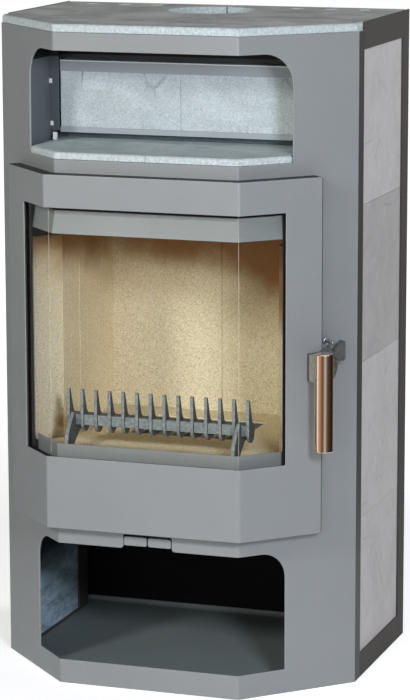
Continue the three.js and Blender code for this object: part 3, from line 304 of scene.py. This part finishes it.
def panel_paint(name, outside, inside):
    """Rear panel: grey outside, black towards the stove's inside."""
    s = Surface(name, outside, 0.6, 0.0, 0.12)
    _, facing, _ = s.normal_axes()
    finish_paint(s, s.mix(s.span(facing, -0.3, -0.6), outside, inside), 0.6, FINE_FLECK)
    return s.material


# Heights between which the tiles' faces into the stove grow dark with painted shade
SHADED_FROM_TO = (0.1, 0.17)


def soapstone(name, seed, pale, dark, grit=0.5, scratches=0.45, width=0.014,
              rim=None, inner=None):
    """Honed soapstone: clouds, drawn-out streaks, fine grains and thin scratches.

    Grit and scratches say how strongly those show, and width is the scratches' width. Rim is
    the colour of a slab's sawn sides, and inner the colour of a tile's face into the stove,
    which painted shade darkens towards the top, under the firebox.
    """
    roughness = 0.7
    s = Surface(name, pale, roughness, specular=0.2)
    shift = (seed * 1.7, seed * 0.9, seed * 2.3)
    # Clouds and pale streaks
    cloud = s.noise(11, 6, 0.6, s.point(shift=shift), 0.6)
    streak = s.noise(9, 5, 0.6, s.point((1.0, 6.0, 5.0), shift, (0.3, 0.5, 0.4 + seed)), 1.2)
    colour = s.mix(s.span(cloud, 0.35, 0.68), pale, dark)
    colour = s.mix(s.span(streak, 0.52, 0.72, 0, 0.5), colour, shade(pale, 1.14))
    # Fine grains, dark and bright, and larger dark specks
    grain = s.noise(600, 3, 0.75, s.point(shift=shift))
    speck = s.noise(170, 2, 0.8, s.point(shift=shift))
    deep = shade(dark, 0.66)
    colour = s.mix(s.span(grain, 0.5, 0.76, 0, 1.1 * grit), colour, deep)
    colour = s.mix(s.span(grain, 0.46, 0.24, 0, grit), colour, shade(pale, 1.28))
    colour = s.mix(s.span(speck, 0.6, 0.78, 0, 0.7 * grit), colour, deep)
    # Scratches along a net of lines, in patches
    veins = s.point((1, 1, 0.5), shift, (0.5, 0.2, seed))
    edge = s.cells(16, "DISTANCE_TO_EDGE", "Distance", veins)
    patch = s.span(s.noise(7, 2, 0.5, s.point(shift=(seed, 4, 1))), 0.52, 0.6)
    scratch = s.math("MULTIPLY", s.span(edge, width, 0.0), patch)
    colour = s.mix(s.math("MULTIPLY", scratch, scratches), colour, shade(dark, 0.45))
    across, _, up = s.normal_axes()
    if rim:
        chip = s.span(s.noise(230, 3, 0.8, s.point(shift=shift)), 0.42, 0.62)
        sawn = s.mix(chip, shade(rim, 0.8), shade(rim, 1.1))
        colour = s.mix(s.span(s.math("ABSOLUTE", up), 0.95, 0.8), colour, sawn)
    if inner:
        outward = s.math("MULTIPLY", across, s.math("SIGN", s.axes()[0]))
        rub = s.span(s.noise(34, 5, 0.75, s.point((1, 0.6, 1.8), shift, (0.5, 0, 0))), 0.3, 0.7)
        back = s.mix(rub, shade(inner, 0.55), shade(inner, 1.75))
        # Painted shade: the face into the stove goes nearly black towards the top
        back = s.mix(s.smooth(s.axes()[2], *SHADED_FROM_TO), back, shade(inner, 0.08))
        colour = s.mix(s.span(outward, -0.4, -0.7), colour, back)
    s.drive("Base Color", colour)
    s.drive("Roughness", s.span(cloud, 0.3, 0.7, roughness - 0.1, roughness + 0.08))
    normal = s.bump(grain, 0.0003, 0.5)
    s.drive("Normal", s.bump(s.noise(60, 4, 0.6, s.point(shift=shift)), 0.0006, 0.4, normal))
    return s.material


# Heights between which the smoke on the bricks sets in: a tan tint, then the brown film
TAN_FROM_TO = (0.52, 0.66)
SMOKE_FROM_TO = (0.64, 0.715)


def fire_brick(name, seed, light=1.0, brown_patches=None):
    """Pressed brick of fine pale grains, browned by smoke towards its top, most at the right.

    Light makes the whole brick lighter or darker: partly its own tone, partly painted light and
    shade. The last argument adds darker brown patches: "floor" near the front of the hearth and
    at its right, "reveal" at the foot of the bricks beside the glass.
    """
    s = Surface(name, srgb(236, 224, 188), 0.95, specular=0.1)
    shift = (seed * 3.1, seed * 1.3, seed * 0.7)
    # Pressed grains, a few of them pink, with darker spots and clouds
    flakes = s.add("ShaderNodeSeparateColor")
    s.feed(flakes.inputs["Color"], s.cells(1150, point=s.point(shift=shift)))
    tone = s.ramp(
        flakes.outputs["Red"],
        (0.0, srgb(170, 150, 110)), (0.25, srgb(216, 201, 163)), (0.6, srgb(238, 227, 195)),
        (0.85, srgb(244, 235, 208)), (1.0, srgb(255, 250, 234)),
    )
    pink = s.math("GREATER_THAN", flakes.outputs["Green"], 0.95)
    colour = s.mix(s.math("MULTIPLY", pink, 0.35), tone, srgb(226, 178, 148))
    dark = s.span(s.noise(620, 2, 0.8, s.point(shift=shift)), 0.58, 0.76, 0, 0.5)
    colour = s.mix(dark, colour, srgb(164, 138, 98))
    cloud = s.span(s.noise(9, 3, 0.6, s.point(shift=shift)), 0.4, 0.7, 0, 0.1)
    colour = s.mix(cloud, colour, srgb(204, 184, 142))
    # Smoke, which starts lower at the right and higher at the far left
    across, depth, height = s.axes()
    haze = s.span(s.noise(7, 5, 0.6, s.point(shift=shift)), 0.3, 0.7, -0.022, 0.022)
    level = s.math("ADD", height, haze)
    level = s.math("ADD", level, s.span(across, -0.01, 0.085, 0, 0.055))
    level = s.math("ADD", level, s.span(across, -0.205, -0.17, -0.03, 0))
    fume = s.smooth(level, *SMOKE_FROM_TO)
    colour = s.mix(s.math("MULTIPLY", fume, 0.94), colour, srgb(124, 77, 38))
    tan = s.math("MULTIPLY", s.smooth(level, *TAN_FROM_TO), 0.2)
    colour = s.mix(tan, colour, srgb(196, 162, 110))
    # Darker brown patches, where the last argument puts them
    if brown_patches:
        blot = s.span(s.noise(34, 4, 0.6, s.point(shift=shift), 0.6), 0.38, 0.62)
        if brown_patches == "floor":
            near = s.math(
                "MAXIMUM", s.smooth(depth, -0.135, -0.19),
                s.math("MULTIPLY", s.smooth(across, 0.16, 0.215), s.smooth(depth, -0.06, -0.15)),
            )
        else:
            near = s.math(
                "MULTIPLY", s.smooth(height, 0.475, 0.42),
                s.smooth(s.math("ABSOLUTE", across), 0.212, 0.198),
            )
        patch_amount = s.math("MULTIPLY", near, s.span(blot, 0, 1, 0.35, 0.85))
        colour = s.mix(patch_amount, colour, srgb(134, 92, 52))
    # Brightness of the whole brick: partly its own tone, partly painted light and shade
    s.drive("Base Color", s.scaled(colour, light))
    s.drive("Normal", s.bump(flakes.outputs["Red"], 0.00012, 0.3))
    return s.material


def cast_iron(name, colour, flank=1.0, top=1.0):
    """Sand-cast iron: coarse skin, mottled with grey ash dust, and painted shade on its sides and
    top.

    Flank and top say how bright its sides and upper faces are against its front, as painted shade.
    """
    s = Surface(name, colour, 0.65, 0.1, 0.3)
    across, _, up = s.normal_axes()
    grain = s.noise(700, 4, 0.7)
    normal = s.bump(grain, 0.0003, 0.6)
    s.drive("Normal", s.bump(s.noise(120, 3, 0.6), 0.0005, 0.5, normal))
    mottle = s.span(s.noise(190, 4, 0.7), 0.35, 0.68, 0.0, 1.0)
    tone = s.mix(mottle, shade(colour, 0.68), shade(colour, 1.32))
    # Painted shade: sides and upper faces go darker than the front
    painted_face_shade = s.math(
        "MULTIPLY", s.span(s.math("ABSOLUTE", across), 0.55, 0.85, 1.0, flank),
        s.span(up, 0.55, 0.85, 1.0, top),
    )
    s.drive("Base Color", s.scaled(tone, painted_face_shade))
    return s.material


def chrome(name, colour):
    """Polished metal with a warm tint and faint wipe marks in its gloss."""
    s = Surface(name, colour, 0.1, 1.0)
    wipe = s.noise(60, 3, 0.6, s.point((1, 1, 0.08)))
    s.drive("Roughness", s.span(wipe, 0.3, 0.7, 0.05, 0.1))
    s.drive("Base Color", s.mix(s.span(s.noise(24, 3), 0.35, 0.7), colour, shade(colour, 0.94)))
    return s.material


def steel(name, colour):
    """Plain steel with fine drawn lines."""
    s = Surface(name, colour, 0.35, 0.9)
    lines = s.noise(300, 3, 0.6, s.point((0.06, 1, 1)))
    s.drive("Roughness", s.span(lines, 0.3, 0.7, 0.28, 0.45))
    s.drive("Base Color", s.mix(s.span(s.noise(40, 4), 0.35, 0.7), colour, shade(colour, 0.82)))
    s.drive("Normal", s.bump(lines, 0.00005, 0.5))
    return s.material


def rope(name):
    """Dark woven glass fibre."""
    s = Surface(name, srgb(52, 50, 47), 1.0)
    weave = s.cells(650)
    s.drive("Base Color", s.mix(s.noise(400, 2), srgb(40, 38, 36), srgb(74, 70, 64)))
    s.drive("Normal", s.bump(weave, 0.0006, 0.8))
    return s.material


def clear_glass(name):
    """Thin clear pane: mostly see-through, with a reflection that grows at the edges."""
    s = Surface(name, WHITE, 0.02)
    tree = s.tree
    tree.nodes.remove(s.shader)
    out = tree.nodes["Material Output"]
    through = s.add("ShaderNodeBsdfTransparent")
    through.inputs["Color"].default_value = (0.97, 0.98, 0.97, 1)
    shine = s.add("ShaderNodeBsdfGlossy")
    shine.inputs["Roughness"].default_value = 0.03
    shine.inputs["Color"].default_value = WHITE
    fresnel = s.add("ShaderNodeFresnel")
    fresnel.inputs["IOR"].default_value = 1.25
    inside = s.add("ShaderNodeNewGeometry").outputs["Backfacing"]
    share = s.math("MULTIPLY", fresnel.outputs["Fac"], s.math("SUBTRACT", 1.0, inside))
    both = s.add("ShaderNodeMixShader")
    s.feed(both.inputs["Fac"], share)
    s.feed(both.inputs[1], through.outputs["BSDF"])
    s.feed(both.inputs[2], shine.outputs["BSDF"])
    s.feed(out.inputs["Surface"], both.outputs["Shader"])
    return s.material


# Heights of the liner's top edge, above which painted shade turns the liner black,
# and of the upper tile rail's top edge, along which a painted highlight runs
LINER_TOP = 1044.5 * MM
RAIL_TOP = 1038.3 * MM

GREY_TONE = srgb(139, 143, 143)
GREY = paint("grey_paint", GREY_TONE, specular=0.3)
LUG = paint("lug_paint", srgb(226, 232, 234), 0.6, 0.0)
# The shell paint carries painted shade on its sides and a painted highlight on its cut edges
SHELL = shell_paint("shell_paint", GREY_TONE, srgb(57, 56, 54), srgb(206, 210, 206))
# The door paint carries painted shade on its edges
DOOR = door_paint_with_painted_shade("door_paint", GREY_TONE, srgb(40, 41, 40))
# Painted shade: a darker copy of the grey paint for the side frames, standing for their poor light
# from the side
SHADED_SIDE_PAINT = paint("side_paint_painted_shade", srgb(72, 70, 67), 0.75, 0.0, specular=0.12)
# The liner paint carries painted shade to the front and above its top edge
LINER = liner_paint("liner_paint", srgb(100, 108, 112), srgb(74, 82, 88), srgb(9, 9, 9), LINER_TOP)
# The rail paint carries a painted highlight along the upper rail's top
RAIL = rail_paint("rail_paint", srgb(152, 160, 163), srgb(226, 232, 230), RAIL_TOP)
PANEL = panel_paint("panel_paint", srgb(78, 80, 80), srgb(8, 8, 9))
DARK = paint("dark_paint", srgb(114, 124, 122), 0.7, 0.0, specular=0.2)
BLACK = paint("black_paint", srgb(30, 30, 29), 0.8, 0.0, specular=0.15)
TOP_STONE = soapstone(
    "top_stone", 1.0, srgb(172, 175, 172), srgb(130, 134, 132), grit=0.7, rim=srgb(184, 196, 195)
)
SHELF_STONE = soapstone(
    "shelf_stone", 2.0, srgb(206, 220, 220), srgb(168, 181, 181), grit=0.6, rim=srgb(190, 200, 199)
)
# Painted shade: dark stone for the upstand, copying the shaded rear of the shelf
UPSTAND_STONE_PAINTED_SHADE = soapstone("upstand_stone_painted_shade", 2.5, srgb(98, 112, 116), srgb(78, 90, 94))
BACK_STONE = soapstone(
    "back_stone", 3.0, srgb(191, 202, 202), srgb(173, 184, 184),
    grit=1.15, scratches=1.0, width=0.04,
)
SIDE_STONES = [
    soapstone(
        f"side_stone_{place}", 4.0 + place, srgb(pale, pale - 1, pale - 3),
        srgb(pale - 11, pale - 12, pale - 14), grit=grit, inner=srgb(160, 184, 196),
    )
    for place, (pale, grit) in enumerate(((181, 0.42), (180, 0.36), (165, 0.3), (182, 0.38)))
]
# Brightness factors, lighter at the sides and darker beside the glass: partly the bricks' tones,
# partly painted light and shade
REAR_BRICK = fire_brick("rear_brick", 2.0, 1.03)
SIDE_BRICK = fire_brick("side_brick", 4.6, 1.24)
FRONT_BRICK = fire_brick("front_brick", 1.0, 0.88, "reveal")
FLOOR_BRICK = fire_brick("floor_brick", 3.0, 1.0, "floor")
# The retainer's iron carries painted shade on its sides and tops
IRON = cast_iron("cast_iron", srgb(134, 140, 140), flank=0.4, top=0.6)
LATCH_IRON = cast_iron("latch_iron", srgb(142, 146, 134))
# Painted shade: a darker copy of the latch's iron for the lever, whose faces lie in shade
HOOK_IRON_PAINTED_SHADE = cast_iron("hook_iron_painted_shade", srgb(78, 80, 78))
CHROME = chrome("chrome", (0.82, 0.63, 0.48, 1))
STEEL = steel("plain_steel", srgb(180, 182, 184))
ROPE = rope("rope")
GLASS = clear_glass("glass")
SEAM = paint("glass_seam", srgb(214, 206, 190), 0.5, 0.0)
SEAM.node_tree.nodes["Principled BSDF"].inputs["Alpha"].default_value = 0.2

BY_NODE = {
    "base_plate": DARK, "front_shell": SHELL, "rear_panel": PANEL, "top_slab": TOP_STONE,
    "compartment_liner": LINER, "tile_rail_upper": RAIL, "tile_rail_lower": RAIL,
    "firebox_shelf": BLACK, "firebox_body": BLACK, "ash_chamber": BLACK, "flue_collar": BLACK,
    "baffle_plate": REAR_BRICK,
    "grate": IRON, "ash_pan": STEEL, "hearth_band": GREY, "air_deflector": GREY,
    "log_retainer": IRON, "secondary_air_slide": GREY, "primary_air_slide": GREY,
    "hinge_bracket_lower": STEEL, "hinge_bracket_upper": STEEL, "door_frame": DOOR,
    "door_rope": ROPE, "glass_centre": GLASS, "glass_seal": ROPE, "glass_clamp": BLACK,
    "latch_lever": HOOK_IRON_PAINTED_SHADE, "handle_neck": LATCH_IRON, "grip_tube": CHROME, "catch_pin": STEEL,
}
for side in ("left", "right"):
    BY_NODE[f"side_frame_{side}"] = SHADED_SIDE_PAINT
    BY_NODE[f"tile_channel_{side}"] = DARK
    BY_NODE[f"shelf_slab_{side}"] = SHELF_STONE
    BY_NODE[f"back_tile_{side}"] = BACK_STONE
    BY_NODE[f"glass_{side}"] = GLASS
    BY_NODE[f"retainer_leg_{side}"] = IRON
    for place in range(4):
        BY_NODE[f"side_tile_{place + 1}_{side}"] = SIDE_STONES[place]
    for index, brick in enumerate(("side_brick_front", "side_brick_middle", "side_brick_rear")):
        BY_NODE[f"{brick}_{side}"] = SIDE_BRICK if index else FRONT_BRICK
    BY_NODE[f"rear_brick_{side}"] = REAR_BRICK
    BY_NODE[f"floor_brick_{side}"] = FLOOR_BRICK


# ---------------------------------------------------------------- mesh helpers


def link(name, mesh, material):
    """A new object with one material."""
    piece = bpy.data.objects.new(name, mesh)
    bpy.context.scene.collection.objects.link(piece)
    piece.data.materials.clear()
    piece.data.materials.append(material)
    return piece


# Rounding of the sheets' folds and of the door's outline
FOLD_ROUNDING = 2.5 * MM
DOOR_RIM = 2.0 * MM

# What counts as a fold: its least length, its angle in radians, how upright it is and how
# squarely one of its faces looks to the front
LONG_FOLD = 20 * MM
FOLD_ANGLES = (0.6, 1.0)
UPRIGHT = 0.98
SQUARE_ON = -0.9

# The band inside a box's edges that holds the door's outline
RIM_BAND = 7 * MM

WELD = 0.02 * MM
FLAT_ANGLE = math.radians(0.8)
SHARP_ANGLE = math.radians(30)


def is_fold(edge):
    """True for an upright outer edge where two facets of the front meet."""
    first, second = edge.verts
    run = first.co - second.co
    if abs(run.z) < UPRIGHT * run.length or run.length < LONG_FOLD:
        return False
    least, most = FOLD_ANGLES
    if not least < edge.calc_face_angle(0) < most:
        return False
    return min(face.normal.y for face in edge.link_faces) < SQUARE_ON


def on_outline(edge, low, high):
    """True for a front edge near the outer ends, the top or the bottom of a box."""
    if min(face.normal.y for face in edge.link_faces) > -0.6:
        return False
    spots = [vertex.co for vertex in edge.verts]
    return all(
        abs(spot.x) > high.x - RIM_BAND
        or spot.z > high.z - RIM_BAND
        or spot.z < low.z + RIM_BAND
        for spot in spots
    )


def edge_width(node, edge, width, low, high):
    """How wide an edge of a piece is rounded. Inside corners stay sharp."""
    if len(edge.link_faces) != 2 or not edge.is_convex:
        return 0.0
    if edge.calc_face_angle(0) < SHARP_ANGLE:
        return 0.0
    if node in FOLDED and is_fold(edge):
        return FOLD_ROUNDING
    if node == "door_frame" and on_outline(edge, low, high):
        return DOOR_RIM
    return width


def clean_copy(node, name, material, width):
    """The CAD piece as flat faces without their triangles, with its edges' bevel weights.

    Gives the copy and the widest rounding, which a weight of 1 stands for.
    """
    work = bmesh.new()
    work.from_mesh(nodes[node].data)
    bmesh.ops.remove_doubles(work, verts=work.verts, dist=WELD)
    bmesh.ops.dissolve_limit(
        work, angle_limit=FLAT_ANGLE, verts=work.verts, edges=work.edges, delimit={"NORMAL"}
    )
    bmesh.ops.connect_verts_concave(work, faces=work.faces)
    low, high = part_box(node)
    widths = [edge_width(node, edge, width, low, high) for edge in work.edges]
    widest = max(widths)
    weight = work.edges.layers.float.new("bevel_weight_edge")
    for edge, wanted in zip(work.edges, widths):
        edge[weight] = wanted / widest
    for face in work.faces:
        face.smooth = True
        face.material_index = 0
    mesh = bpy.data.meshes.new(name)
    work.to_mesh(mesh)
    work.free()
    mesh.set_sharp_from_angle(angle=SHARP_ANGLE)
    return link(name, mesh, material), widest


def round_edges(node, width):
    """Makes a copy of a CAD piece with rounded edges, which stands for it."""
    piece, widest = clean_copy(node, f"{node}_looks", BY_NODE[node], width)
    bevel = piece.modifiers.new("round", "BEVEL")
    bevel.width = widest
    bevel.segments = 3 if node in FOLDED else 2
    bevel.limit_method = "WEIGHT"
    bevel.use_clamp_overlap = node in CLAMPED
    # Sliding along the front's seam at a corner would twist the rim there
    bevel.loop_slide = False
    piece.modifiers.new("normals", "WEIGHTED_NORMAL").keep_sharp = True
    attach(piece, nodes[node]["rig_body"])
    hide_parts(node)


# Sheets whose upright folds are rounded wide
FOLDED = ("front_shell", "door_frame")

# Pieces with narrow spots, where Blender limits the rounding
CLAMPED = (
    "firebox_body", "latch_lever", "secondary_air_slide", "primary_air_slide", "grate",
    "grip_tube", "compartment_liner", "ash_pan", "hearth_band", "air_deflector", "catch_pin",
)

# How wide each piece's edges are rounded, in millimetres
ROUNDING = {
    "front_shell": 0.8, "base_plate": 0.8, "top_slab": 1.2, "door_frame": 0.9,
    "hearth_band": 0.5, "air_deflector": 0.5, "log_retainer": 0.5, "latch_lever": 0.8,
    "handle_neck": 1.0, "tile_rail_upper": 0.5, "tile_rail_lower": 0.5, "compartment_liner": 0.5,
    "secondary_air_slide": 0.5, "primary_air_slide": 0.5, "catch_pin": 0.6, "grip_tube": 1.5,
    "grate": 1.0, "ash_pan": 0.4, "baffle_plate": 1.5, "firebox_body": 0.8,
}
for side in ("left", "right"):
    ROUNDING[f"side_frame_{side}"] = 0.7
    ROUNDING[f"shelf_slab_{side}"] = 1.2
    ROUNDING[f"back_tile_{side}"] = 0.8
    ROUNDING[f"retainer_leg_{side}"] = 1.0
    ROUNDING[f"rear_brick_{side}"] = 1.2
    ROUNDING[f"floor_brick_{side}"] = 1.2
    for place in range(4):
        ROUNDING[f"side_tile_{place + 1}_{side}"] = 0.8
    for brick in ("side_brick_front", "side_brick_middle", "side_brick_rear"):
        ROUNDING[f"{brick}_{side}"] = 1.2

for node, piece in nodes.items():
    if node in ROUNDING:
        round_edges(node, ROUNDING[node] * MM)
    else:
        piece.data.materials.clear()
        piece.data.materials.append(BY_NODE[node])


# ---------------------------------------------------------------- small parts of the looks


def block(name, low, high, material, body="stove", width=0.6):
    """Makes a small block with rounded edges between two corners in millimetres."""
    work = bmesh.new()
    bmesh.ops.create_cube(work, size=1.0)
    size = [(b - a) * MM for a, b in zip(low, high)]
    middle = Vector([(a + b) / 2 * MM for a, b in zip(low, high)])
    for vertex in work.verts:
        vertex.co = Vector([c * part for c, part in zip(vertex.co, size)]) + middle
    bmesh.ops.bevel(
        work, geom=list(work.edges), offset=width * MM, segments=2, profile=0.5, affect="EDGES"
    )
    for face in work.faces:
        face.smooth = True
    mesh = bpy.data.meshes.new(name)
    work.to_mesh(mesh)
    work.free()
    mesh.set_sharp_from_angle(angle=math.radians(40))
    piece = link(name, mesh, material)
    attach(piece, body)


def ends(sign, near, far):
    """Two places across the stove at one side of its middle, the lower first."""
    return sorted((sign * near, sign * far))


# Top of the shelf slabs, and the liner lugs' feet with how far each is set outward
SHELF_TOP = 904.2
LUGS = ((999.0, 1.5), (927.0, 0.0))
LUG_HEIGHT = 8.0

# An upstand behind the shelf whose dark tone is painted shade of the shelf's rear
block(
    "shelf_upstand", (-214.5, -29.0, SHELF_TOP), (214.5, -21.0, 912.4),
    UPSTAND_STONE_PAINTED_SHADE,
)
for side, sign in (("left", -1), ("right", 1)):
    for index, (foot, outward) in enumerate(LUGS):
        low, high = ends(sign, 225.2 + outward, 230.4 + outward)
        block(
            f"liner_lug_{index}_{side}", (low, -70.0, foot), (high, -68.1, foot + LUG_HEIGHT),
            LUG,
        )
    low, high = ends(sign, 216.5, 223.0)
    block(
        f"shelf_clip_{side}", (low, -78.0, SHELF_TOP), (high, -72.0, 916.5),
        LUG,
    )
    low, high = ends(sign, 163.9, 165.1)
    block(
        f"glass_seam_{side}", (low, -247.7, 402.0), (high, -246.7, 812.0),
        SEAM, "door", 0.3,
    )


# ---------------------------------------------------------------- floor, light and camera


def shown(s, share):
    """Adds light that only the camera, mirrors and glass see, as a share of white."""
    path = s.add("ShaderNodeLightPath")
    seen = s.math("MAXIMUM", path.outputs["Is Camera Ray"], path.outputs["Is Glossy Ray"])
    seen = s.math("MAXIMUM", seen, path.outputs["Is Transmission Ray"])
    s.shader.inputs["Emission Color"].default_value = WHITE
    s.drive("Emission Strength", s.math("MULTIPLY", seen, share))


def stage_floor():
    """Pale floor that fades into the white background away from the stove."""
    reach = 12
    corners = [(-reach, -reach, 0), (reach, -reach, 0), (reach, reach, 0), (-reach, reach, 0)]
    mesh = bpy.data.meshes.new("floor")
    mesh.from_pydata(corners, [], [(0, 1, 2, 3)])
    s = Surface("floor", (0.86, 0.86, 0.86, 1), 0.9, specular=0.1)
    away = s.add("ShaderNodeVectorMath", operation="LENGTH")
    s.feed(away.inputs[0], s.point())
    fade_start, fade_end = 1.0, 3.5
    shown(s, s.span(away.outputs["Value"], fade_start, fade_end, 0.5, 1.0))
    link("floor", mesh, s.material)


def dark_cards():
    """Upright cards on an arc round the handle, seen only in polished metal and glass."""
    steps, radius, height = 90, 1.25, 2.2
    middle = Vector((0.293, -0.196, 0.0))
    first, last = math.radians(-130), math.radians(178)
    points, faces = [], []
    for step in range(steps + 1):
        turn = first + (last - first) * step / steps
        spot = middle + Vector((math.sin(turn), -math.cos(turn), 0)) * radius
        points += [tuple(spot), (spot.x, spot.y, height)]
    for step in range(steps):
        foot = 2 * step
        faces.append((foot, foot + 2, foot + 3, foot + 1))
    mesh = bpy.data.meshes.new("cards")
    mesh.from_pydata(points, [], faces)
    s = Surface("cards", (0, 0, 0, 1), 1.0, specular=0.0)
    along, depth, _ = s.axes()
    turn = s.math(
        "ARCTAN2", s.math("SUBTRACT", along, middle.x), s.math("SUBTRACT", middle.y, depth)
    )
    share = s.span(turn, -math.pi, math.pi)

    def at(degrees, *colour):
        """A stop of the band at this azimuth round the handle."""
        return (0.5 + degrees / 360, tuple(colour) + (1.0,))

    tone = s.ramp(
        share,
        at(-130, 0.16, 0.16, 0.16), at(-84, 0.2, 0.2, 0.2), at(-72, 1.0, 1.0, 1.0),
        at(-57, 1.0, 1.0, 1.0), at(-46, 0.6, 0.46, 0.38), at(-30, 0.52, 0.36, 0.26),
        at(-6, 0.2, 0.12, 0.07), at(12, 0.2, 0.14, 0.11), at(33, 0.62, 0.66, 0.7),
        at(56, 0.16, 0.15, 0.14), at(80, 0.07, 0.055, 0.045), at(120, 0.035, 0.016, 0.008),
        at(158, 0.04, 0.02, 0.01), at(172, 0.3, 0.3, 0.3),
    )
    s.drive("Emission Color", tone)
    s.shader.inputs["Emission Strength"].default_value = 1.0
    cards = link("cards", mesh, s.material)
    cards.visible_camera = False
    cards.visible_diffuse = False
    cards.visible_shadow = False
    cards.visible_transmission = False


def sky(strength):
    """Even light, which the camera, mirrors and glass see as white."""
    world = bpy.data.worlds.new("sky")
    bpy.context.scene.world = world
    world.use_nodes = True
    tree = world.node_tree
    tree.nodes.clear()
    out = tree.nodes.new("ShaderNodeOutputWorld")
    light = tree.nodes.new("ShaderNodeBackground")
    light.inputs["Color"].default_value = (0.93, 0.97, 1.0, 1)
    light.inputs["Strength"].default_value = strength
    seen = tree.nodes.new("ShaderNodeBackground")
    seen.inputs["Color"].default_value = WHITE
    seen.inputs["Strength"].default_value = 1.0
    path = tree.nodes.new("ShaderNodeLightPath")
    rays = path.outputs["Is Camera Ray"]
    for kind in ("Is Glossy Ray", "Is Transmission Ray"):
        either = tree.nodes.new("ShaderNodeMath")
        either.operation = "MAXIMUM"
        tree.links.new(rays, either.inputs[0])
        tree.links.new(path.outputs[kind], either.inputs[1])
        rays = either.outputs["Value"]
    mix = tree.nodes.new("ShaderNodeMixShader")
    tree.links.new(rays, mix.inputs["Fac"])
    tree.links.new(light.outputs["Background"], mix.inputs[1])
    tree.links.new(seen.outputs["Background"], mix.inputs[2])
    tree.links.new(mix.outputs["Shader"], out.inputs["Surface"])


def heading(azimuth, elevation):
    """Unit vector away from the stove. Azimuth 0 is to the front, 90 to the right."""
    turn, rise = math.radians(azimuth), math.radians(elevation)
    flat = math.cos(rise)
    return Vector((math.sin(turn) * flat, -math.cos(turn) * flat, math.sin(rise)))


def lamp(name, azimuth, elevation, distance, size, share, colour=(1, 1, 1)):
    """Soft lamp that looks at the stove's middle from a heading in degrees.

    Share 1 shows a surface that faces the lamp as bright as its colour is written.
    """
    aim = Vector((0, 0, 0.6))
    back = heading(azimuth, elevation)
    light = bpy.data.lights.new(name, "AREA")
    light.shape = "RECTANGLE"
    light.size, light.size_y = size
    light.energy = share * (math.pi * distance) ** 2
    light.color = colour
    holder = bpy.data.objects.new(name, light)
    bpy.context.scene.collection.objects.link(holder)
    holder.location = aim + back * distance
    holder.rotation_euler = back.to_track_quat("Z", "Y").to_euler()


def camera():
    """Stands where the photo was taken from."""
    azimuth, elevation, distance = 19.007, 10.951, 5.107753
    roll = math.radians(-0.145)
    focal_length, picture_height = 2967.988, 700  # both in pixels
    sensor_height = 36
    target = Vector((16.28, 16.0, 538.22)) * MM
    back = heading(azimuth, elevation)
    turn = math.radians(azimuth)
    right = Vector((math.cos(turn), math.sin(turn), 0))
    up = back.cross(right)
    side_way = right * math.cos(roll) + up * math.sin(roll)
    up_way = up * math.cos(roll) - right * math.sin(roll)
    data = bpy.data.cameras.new("camera")
    data.lens = sensor_height * focal_length / picture_height
    data.clip_start = 0.05
    data.clip_end = 60
    holder = bpy.data.objects.new("camera", data)
    bpy.context.scene.collection.objects.link(holder)
    place = Matrix((side_way, up_way, back)).transposed().to_4x4()
    place.translation = target + back * distance
    holder.matrix_world = place
    bpy.context.scene.camera = holder


stage_floor()
dark_cards()
sky(0.09)
lamp("front", 3, 9, 7.0, (3.2, 2.0), 0.16, (1.04, 1.0, 0.96))
lamp("left_key", -23, 26, 5.0, (0.7, 0.7), 0.38, (1.03, 1.0, 0.97))
lamp("right_key", 33, 18, 3.1, (0.4, 0.5), 0.52, (0.93, 0.96, 1.1))
lamp("right", 130, 25, 3.6, (1.6, 2.0), 0.45)
camera()
bpy.context.scene.view_settings.view_transform = "Standard"

bpy.context.view_layer.update()
